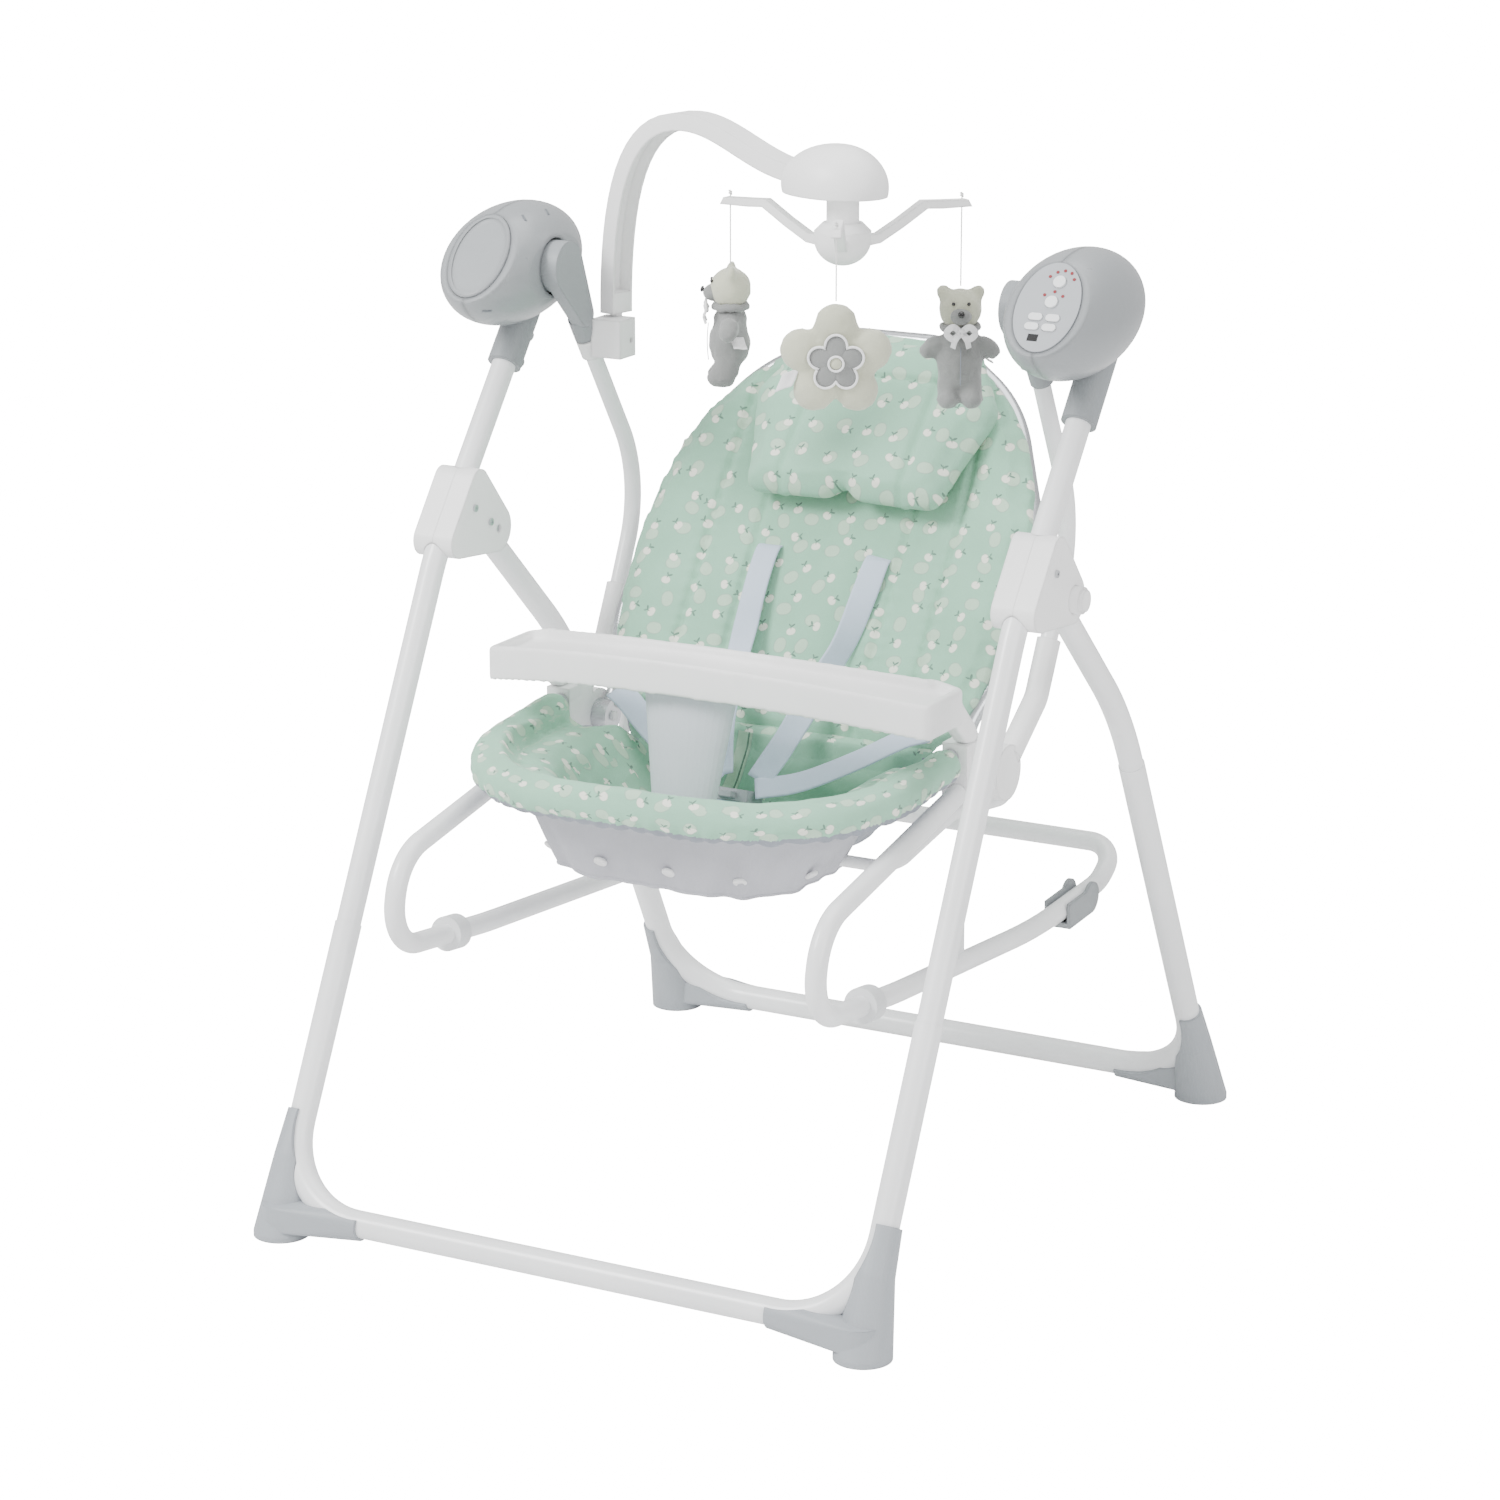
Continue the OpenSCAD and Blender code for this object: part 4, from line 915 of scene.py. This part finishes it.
def place_all(objs, at, turn):
    """Turns pieces made round the origin about Z and moves them to their place."""
    m = Matrix.Translation(at) @ Matrix.Rotation(turn, 4, "Z")
    for o in objs:
        o.data.transform(m)


def ribbon_bow(name, at, body, size=0.011):
    """A tied bow: two loops, two tails and a knot."""
    parts = []
    for s in (-1, 1):
        loop = [Vector((0, 0, 0)), Vector((s * size * 0.7, -0.003, size * 0.55)),
                Vector((s * size * 1.25, -0.002, 0)), Vector((s * size * 0.7, -0.003, -size * 0.5)),
                Vector((0, 0, 0))]
        parts.append(strap(name + "_loop_%d" % (s + 1), [p + at for p in loop],
                           [Vector((0.2 * s, -1, 0.3))] * 5, 0.006, 0.0012, body,
                           "ribbon_white", 30))
        tail = [Vector((0, 0, 0)), Vector((s * size * 0.5, -0.004, -size * 0.6)),
                Vector((s * size * 0.7, -0.002, -size * 1.3))]
        parts.append(strap(name + "_tail_%d" % (s + 1), [p + at for p in tail],
                           [Vector((0.3 * s, -1, 0.2))] * 3, 0.0052, 0.001, body,
                           "ribbon_white", 20))
    parts.append(tube(name + "_knot", [at + Vector((0.002 * math.cos(k), -0.0015, 0.0026 * math.sin(k)))
                                       for k in range(7)], 0.0024, "ribbon_white", body, 10))
    return parts


def tag(name, at, across, down, body):
    """A folded blank cloth label."""
    verts, faces = [], []
    n = 8
    for i in range(n + 1):
        for j in range(n + 1):
            a, b = i / n - 0.5, j / n
            bend = 0.0012 * math.sin(b * 3.0) + 0.0006 * math.sin(a * 6)
            verts.append(at + across * a + down * b + across.cross(down).normalized() * bend)
    for i in range(n):
        for j in range(n):
            k = i * (n + 1) + j
            faces.append((k, k + 1, k + n + 2, k + n + 1))
    ob = add(name, verts, faces, "ribbon_white", body)
    m = ob.modifiers.new("thick", "SOLIDIFY")
    m.thickness = 0.0009
    apply_all(ob)
    return ob


def pair(x, y, z, radii, turn=0):
    """Two like ellipsoids, left and right of the middle."""
    return [((side * x, y, z), radii, turn) for side in (-1, 1)]


TOY_DROP = 0.118


def bear(name, turn):
    """A sitting stuffed bear of plain shapes, with a bow and a blank label."""
    x, y = toy_xy(name)
    body = "toy_" + name
    head = soft_parts(name + "_head", [((0, 0, 0.0955), (0.0212, 0.0205, 0.0205), 0)]
                      + pair(0.0170, 0.001, 0.1125, (0.0078, 0.0048, 0.0078)),
                      "plush_cream", body)
    muzzle = soft_parts(name + "_muzzle", [((0, -0.0165, 0.0915), (0.0108, 0.0105, 0.0088), 0)],
                        "plush_grey", body, 0.0025, 3)
    chest = [((0, 0, 0.065), (0.0185, 0.0165, 0.0160), 0)]
    belly = [((0, -0.001, 0.043), (0.0225, 0.0205, 0.026), 0)]
    legs = pair(0.0105, -0.003, 0.024, (0.0120, 0.0130, 0.018), 0.1)
    feet = pair(0.0115, -0.0085, 0.0105, (0.0112, 0.0150, 0.0102))
    arms = pair(0.0225, -0.001, 0.061, (0.0125, 0.0098, 0.0098))
    hands = pair(0.0305, -0.002, 0.056, (0.0092, 0.0090, 0.0090))
    trunk = soft_parts(name + "_body", chest + belly + legs + feet + arms + hands,
                       "plush_grey", body, 0.0032, 4, 0.0012)
    collar = tube(name + "_collar", [Vector((0.0165 * math.cos(q * 0.2618), 0.0150 * math.sin(q * 0.2618),
                                             0.0785 + 0.001 * math.sin(q * 1.7))) for q in range(24)],
                  0.0038, "plush_grey", body, 10, closed=True)
    front = [Vector((0, -0.0212 - 0.0012 * math.sin(k / 10 * 3.14), 0.062 - 0.036 * k / 10))
             for k in range(11)]
    seam = tube(name + "_seam", front, 0.0005, "lining_grey", body, 6)
    eyes = []
    for s in (-1, 1):
        button = [(0.0004, -0.001), (0.0016, 0), (0.0018, 0.0008), (0.001, 0.0018)]
        eyes.append(lathe(name + "_eye_%d" % (s + 1), button, (s * 0.0072, -0.0176, 0.1035),
                          (s * 0.25, -1, 0.25), "eye_black", body, 16))
    nose = lathe(name + "_nose", [(0.0006, -0.001), (0.0030, 0), (0.0033, 0.0012), (0.0018, 0.0026)],
                 (0, -0.0262, 0.0945), (0, -1, 0.35), "eye_black", body, 18)
    bow = ribbon_bow(name + "_bow", Vector((0, -0.0215, 0.0765)), body)
    label = tag(name + "_label", Vector((0.0215, 0.006, 0.052)), Vector((0, 0.013, 0)),
                Vector((0.011, 0.004, -0.009)), body)
    place_all([head, muzzle, trunk, collar, seam, nose, label] + eyes + bow,
              Vector((x, y, TOY_TOPS[name] - TOY_DROP)), turn)
    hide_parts(name)


bear("bear_right", math.radians(28))
bear("bear_left", math.radians(-62))


PATCH_LOW, PATCH_HIGH = 0.0165, 0.0262


def flower():
    """The stuffed flower: five petals, a grey sewn-on patch, rings and a blank label."""
    x, y = toy_xy("flower")
    body = "toy_flower"
    petals = [((0, 0, 0), (0.030, 0.0125, 0.030), 0)]
    for k in range(5):
        a = math.pi / 2 + k * math.tau / 5
        petals.append(((0.0335 * math.cos(a), 0, 0.0335 * math.sin(a)), (0.0205, 0.0125, 0.0205), 0))
    puff = soft_parts("flower_puff", petals, "plush_cream", body, 0.0034, 6, 0.0007)

    def patch_radius(q):
        lobe = abs(math.cos(2.5 * (q - math.pi / 2)))
        return PATCH_LOW + (PATCH_HIGH - PATCH_LOW) * lobe ** 0.75

    verts, faces = [Vector((0, -0.0150, 0))], []
    n, rings = 120, 5
    for i in range(1, rings + 1):
        for k in range(n):
            q = math.tau * k / n
            r = patch_radius(q) * i / rings
            verts.append(Vector((r * math.cos(q), -0.0152 + 0.0028 * (i / rings) ** 3, r * math.sin(q))))
    for k in range(n):
        faces.append((0, 1 + (k + 1) % n, 1 + k))
    for i in range(1, rings):
        for k in range(n):
            a, b = 1 + (i - 1) * n, 1 + i * n
            faces.append((a + k, a + (k + 1) % n, b + (k + 1) % n, b + k))
    patch = add("flower_patch", verts, faces, "plush_grey", body)
    m = patch.modifiers.new("thick", "SOLIDIFY")
    m.thickness = 0.0018
    m.offset = 1
    apply_all(patch)
    rim = []
    for k in range(n):
        q = math.tau * k / n
        r = patch_radius(q)
        rim.append(Vector((r * math.cos(q), -0.0134, r * math.sin(q))))
    edge = tube("flower_edge", rim, 0.0012, "ribbon_white", body, 8, closed=True)
    ring = tube("flower_ring", [Vector((0.0068 * math.cos(k * math.tau / 40), -0.0168,
                                        0.0068 * math.sin(k * math.tau / 40))) for k in range(40)],
                0.0011, "ribbon_white", body, 8, closed=True)
    eye = soft_parts("flower_eye", [((0, -0.0145, 0), (0.0062, 0.0034, 0.0062), 0)], "plush_cream", body,
                     0.0015, 3, 0.0002)
    label = tag("flower_label", Vector((-0.041, -0.004, -0.009)), Vector((0.016, 0, 0.006)),
                Vector((-0.007, -0.003, -0.016)), body)
    place_all([puff, patch, edge, ring, eye, label], Vector((x, y, TOY_TOPS["flower"] - 0.055)),
              math.radians(28))
    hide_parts("flower_toy")


flower()


# ---- floor, backdrop and light ----
WHITE_SEEN, FLOOR_HALF = 16.0, 40


def stage():
    """A wide flat pale floor; the camera sees it, and the world beyond it, as white."""
    corners = [(x * FLOOR_HALF, y * FLOOR_HALF, -0.0002) for x, y in ((-1, -1), (1, -1), (1, 1), (-1, 1))]
    me = bpy.data.meshes.new("floor")
    me.from_pydata(corners, [], [(0, 1, 2, 3)])
    ob = bpy.data.objects.new("floor", me)
    bpy.context.collection.objects.link(ob)
    m, n, b = material("floor")
    patchy = n.ramp(n.noise(n.place(), 0.8), 0.3, 0.7)
    n.put(b.inputs["Base Color"], n.mix(patchy, rgb("f4f4f4"), rgb("f7f7f7")))
    b.inputs["Roughness"].default_value = 0.9
    b.inputs["Emission Color"].default_value = (1, 1, 1, 1)
    seen = n.new("ShaderNodeLightPath").outputs["Is Camera Ray"]
    n.put(b.inputs["Emission Strength"], n.math("MULTIPLY", seen, WHITE_SEEN))
    me.materials.append(m)


stage()


def light(name, at, to, size, power):
    """A white square area light at a place, aimed at a point."""
    data = bpy.data.lights.new(name, "AREA")
    data.shape = "SQUARE"
    data.size = size
    data.energy = power
    ob = bpy.data.objects.new(name, data)
    bpy.context.collection.objects.link(ob)
    ob.location = at
    ob.rotation_mode = "QUATERNION"
    ob.rotation_quaternion = (Vector(to) - Vector(at)).to_track_quat("-Z", "Y")


light("key", (-1.9, -2.4, 3.1), (0, 0, 0.5), 1.4, 188)
light("fill", (3.2, -1.6, 1.8), (0, 0, 0.5), 2.0, 60)
light("top", (0.2, 0.4, 3.2), (0, 0, 0.4), 2.4, 58)
world = bpy.data.worlds.new("studio")
bpy.context.scene.world = world
world.use_nodes = True
sky = Nodes(world.node_tree)
backdrop = world.node_tree.nodes["Background"]
backdrop.inputs["Color"].default_value = (1, 1, 1, 1)
seen = sky.new("ShaderNodeLightPath").outputs["Is Camera Ray"]
sky.put(backdrop.inputs["Strength"], sky.math("MULTIPLY_ADD", seen, WHITE_SEEN, 0.97))
